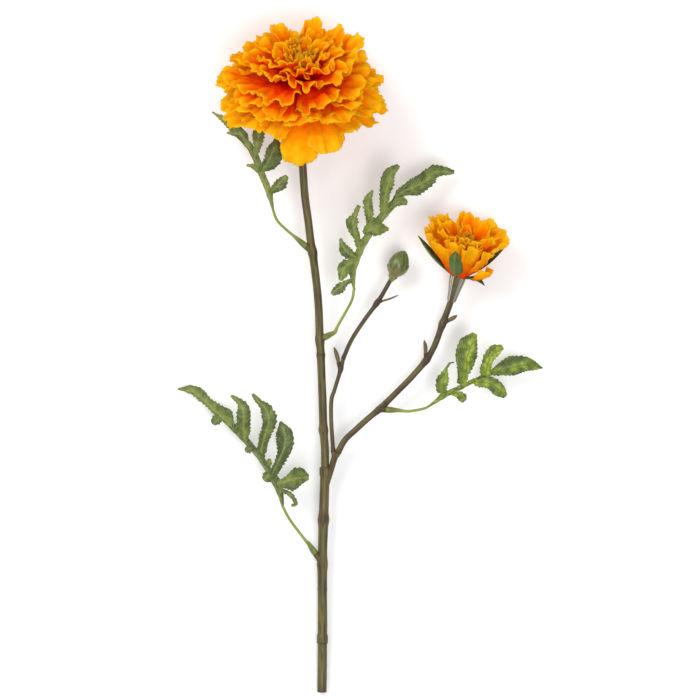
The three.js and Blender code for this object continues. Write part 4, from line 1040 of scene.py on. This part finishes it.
FLORETS = 13
rng = random.Random(41)
bm = new_form()
for number in range(FLORETS):
    turn = 360 * number / FLORETS + rng.uniform(-14, 14)
    petal(bm, large, rng, turn, rng.uniform(-8, 30), rng.uniform(-26, 26), rng.uniform(14, 21),
          rng.uniform(70, 130), (rng.uniform(1.0, 7.0), 11.2), ruffle=2.2, waves=1.8,
          shade=rng.uniform(-0.2, 0.1), cup=2.0, columns=32, rows=20)
finish_cloth("heart_florets", bm, [HEART_CLOTH], "deep_petal_fabric", "centre_florets", PETAL_WALL)

# ---- Small flower ----
# Four rows of lobes on a narrow calyx, half open. Its lowest row is seen from outside, with one lobe folded
# over itself and one spooned out at the lower right.

small = bloom_frame(mm(61.4, 51.1, 22.2), Vector((0.966, -0.259, 0)), Vector((0.243, 0.908, 0.342)),
                    Vector((-0.0885, -0.330, 0.940)))
CRUMPLED_TURN = 60
# Each row's ring and shade, and then the turn, lean, bow, length, spread, ruffle and cup of each lobe.
small_rows = [
    ((5.6, -1.6), 0.28, [
        (-88, 43, -6, 31.5, 56, 2.0, 1.5), (-58, 40, -8, 28.5, 56, 2.0, 3.0),
        (-28, 28, -12, 29, 62, 2.0, 4.0), (20, 25, -14, 27.5, 74, 3.2, 3.0),
        (60, 34, -10, 26, 60, 3.4, 2.0), (68, 60, -30, 20, 44, 0.8, 3.5), (96, 30, 0, 36, 60, 2.4, 1.0),
        (150, 50, 0, 33, 60, 1.8, 1.0), (200, 50, 0, 33, 60, 1.8, 1.0), (-122, 40, 0, 35.5, 60, 1.8, 1.0)]),
    ((2.2, 1.6), 0.12, [
        (-20, 25, 16, 25, 46, 1.8, 2.0), (34, 25, 12, 26, 48, 2.0, 2.0), (76, 28, 8, 30, 46, 2.0, 1.0),
        (112, 34, 10, 36, 60, 1.6, 1.0), (152, 34, 8, 36, 58, 1.4, 0.5), (192, 26, 8, 35, 60, 1.4, 0.5),
        (-118, 37, 8, 35.5, 54, 1.8, 1.0), (-68, 36, 10, 30, 50, 2.0, 1.0)]),
    ((2.2, 2.8), -0.2, [
        (-40, 30, 16, 25, 56, 2.0, 2.0), (12, 24, 16, 24, 52, 2.0, 2.0), (66, 28, 12, 27, 54, 2.0, 1.0),
        (132, 22, 10, 31.5, 70, 1.6, 1.0), (182, 22, 10, 33, 66, 1.4, 0.5),
        (-112, 29, 10, 30, 70, 1.8, 1.0)]),
    ((2.2, 4.0), -0.4, [
        (-74, 24, 14, 21, 60, 1.8, 2.0), (-8, 20, 20, 19, 56, 1.8, 2.0), (54, 24, 16, 20, 56, 1.8, 2.0),
        (112, 22, 12, 23, 62, 1.8, 1.0), (196, 18, 10, 25, 70, 1.6, 1.0)])]
for row, (ring, shade, lobes) in enumerate(small_rows, 1):
    rng = random.Random(60 + row)
    bm = new_form()
    for turn, lean, bow, length, spread, ruffle, cup in lobes:
        petal(bm, small, rng, turn, lean, bow, length, spread, ring, ruffle, shade=shade, cup=cup,
              skew=rng.uniform(-2.5, 2.5), crumple=1.3 if turn == CRUMPLED_TURN else 0.75, notch=0.7,
              columns=44, rows=24)
    name, node = f"small_petal_cloth_{row}", f"small_petals_{row}"
    finish_cloth(name, bm, [PETAL_CLOTH], "petal_fabric", node, PETAL_WALL)

SMALL_FLORETS = 8
rng = random.Random(71)
bm = new_form()
for number in range(SMALL_FLORETS):
    turn = 360 * number / SMALL_FLORETS + rng.uniform(-14, 14)
    petal(bm, small, rng, turn, rng.uniform(4, 26), rng.uniform(-14, 20), rng.uniform(17, 22),
          rng.uniform(90, 150), (rng.uniform(0.6, 1.4), 5.0), ruffle=1.3, waves=1.4,
          shade=rng.uniform(-0.5, -0.2), cup=1.8, columns=26, rows=16)
finish_cloth("small_heart_florets", bm, [HEART_CLOTH], "deep_petal_fabric", "small_centre", PETAL_WALL)

# ---- Calyxes and sepals of both flowers ----
# Each flower stands in a thin olive cup whose paired ribs carry pale lines of painted highlight, over a ring
# of green cloth sepals. The small flower's sepals are long and spread, the large one's lie flat under its
# lowest row.


def sepal_cloth():
    """Pressed green cloth with a greyish fold along its middle: matt, with a fine lengthwise grain."""
    material, tree, shader = new_material("pressed_sepal_polyester_cloth")
    uv = add(tree, "UVMap", uv_map="UVMap")
    place = add(tree, "SeparateXYZ", {0: uv})
    solid = add(tree, "TexCoord").outputs["Object"]
    mottle = add(tree, "TexNoise", {"Vector": solid, "Scale": 420.0, "Detail": 4.0})
    base = add(tree, "ValToRGB", {"Fac": mottle}, stops=[(0.36, "#2a4212"), (0.64, "#4f6a24")])
    side = add(tree, "Math", {0: place.outputs["X"], 1: 0.5}, operation="SUBTRACT")
    away = add(tree, "Math", {0: side}, operation="ABSOLUTE")
    fold = add(tree, "MapRange", {"Value": away, "From Min": 0.12, "From Max": 0.0, "To Max": 0.4})
    colour = add(tree, "Mix", {0: fold, 6: base, 7: hex_colour("#7f8c48")}, data_type="RGBA")
    lines = add(tree, "Mapping", {0: uv, "Scale": (30.0, 3.0, 1.0)})
    grain = add(tree, "TexNoise", {"Vector": lines, "Scale": 1.0, "Detail": 2.0})
    bump = add(tree, "Bump", {"Height": grain, "Strength": 0.5, "Distance": 0.25 * MM})
    fill(tree, shader, {"Base Color": colour, "Normal": bump, "Roughness": 0.66})
    return material


SEPAL_CLOTH = sepal_cloth()
SEPAL_WALL = 0.4
SEPAL_GUTTER = 0.5
MM_PER_METRE = 1000


def sepal(bm, bloom, turn, lean, length, width, ring, curl):
    """A lens-shaped slip of cloth, guttered along its middle. turn and lean are its place round the flower
    and its angle from the flower's axis, in degrees, and curl is how far it bows, in millimetres."""
    angle, lean = math.radians(turn), math.radians(lean)
    outward = Vector((math.sin(angle), 0, math.cos(angle)))
    radius, height = ring
    base = Vector((0, height, 0)) + outward * radius
    tip = base + (outward * math.sin(lean) + Vector((0, math.cos(lean), 0))) * length
    turned = bloom.to_3x3() * MM_PER_METRE
    normal = turned @ (Vector((0, math.sin(lean), 0)) - outward * math.cos(lean))
    side = turned @ Vector((math.cos(angle), 0, -math.sin(angle)))
    start, end = bloom @ base, bloom @ tip
    for vertex, across, share in sheet(bm, 8, 22):
        half = width / 2 * max(0.0, math.sin(math.pi * (0.16 + 0.84 * share))) ** 0.85 + 0.08
        lift = SEPAL_GUTTER * across * across * half + curl * math.sin(math.pi * share)
        vertex.co = start + (end - start) * share + (side * across * half + normal * lift) * MM


large_axis = large.to_3x3() @ Vector((0, 1, 0)) / MM
small_axis = small.to_3x3() @ Vector((0, 1, 0)) / MM
bm = new_form()
cup = [(0, 3.05), (1.2, 3.5), (4, 3.9), (9, 5.4), (14, 7.4), (18, 8.8), (20, 9.0)]
ribbed_form(bm, cup, large.translation - large_axis * 22.2 * MM, large_axis, 8, 0.4, pair=0.1, sharp=60)
finish_piece("moulded_large_calyx", bm, [CALYX_PLASTIC], "calyx_plastic", "main_calyx")
bm = new_form()
for turn in range(0, 360, 45):
    sepal(bm, large, 22.5 + turn, 93, 17.5, 7.5, (6.5, -1.6), -0.8)
finish_cloth("large_sepal_cloth", bm, [SEPAL_CLOTH], "sepal_fabric", "main_sepals", SEPAL_WALL)

bm = new_form()
cup = [(0, 2.4), (0.8, 2.75), (3, 3.0), (8, 3.7), (13, 4.6), (16.5, 5.1), (18, 5.2)]
ribbed_form(bm, cup, small.translation - small_axis * 20 * MM, small_axis, 5, 0.35, phase=0.9, pair=0.13,
            sharp=60)
finish_piece("moulded_small_calyx", bm, [CALYX_PLASTIC], "calyx_plastic", "small_calyx")

# Turn, lean, length, width, curl and ring of each sepal.
small_sepals = [
    (-92, 54, 31, 8.5, -1.8, (5.4, -2.4)), (-16, 33, 24, 9.5, -2.2, (6.4, -0.8)),
    (62, 84, 14.5, 6.0, 1.4, (5.4, -2.4)), (118, 45, 29.5, 7, -2.0, (5.4, -2.4)),
    (190, 50, 18, 6.5, -1.0, (5.4, -2.4))]
for number, (turn, lean, length, width, curl, ring) in enumerate(small_sepals, 1):
    bm = new_form()
    sepal(bm, small, turn, lean, length, width, ring, curl)
    name, node = f"small_sepal_cloth_{number}", f"small_sepal_{number}"
    finish_cloth(name, bm, [SEPAL_CLOTH], "sepal_fabric", node, SEPAL_WALL)
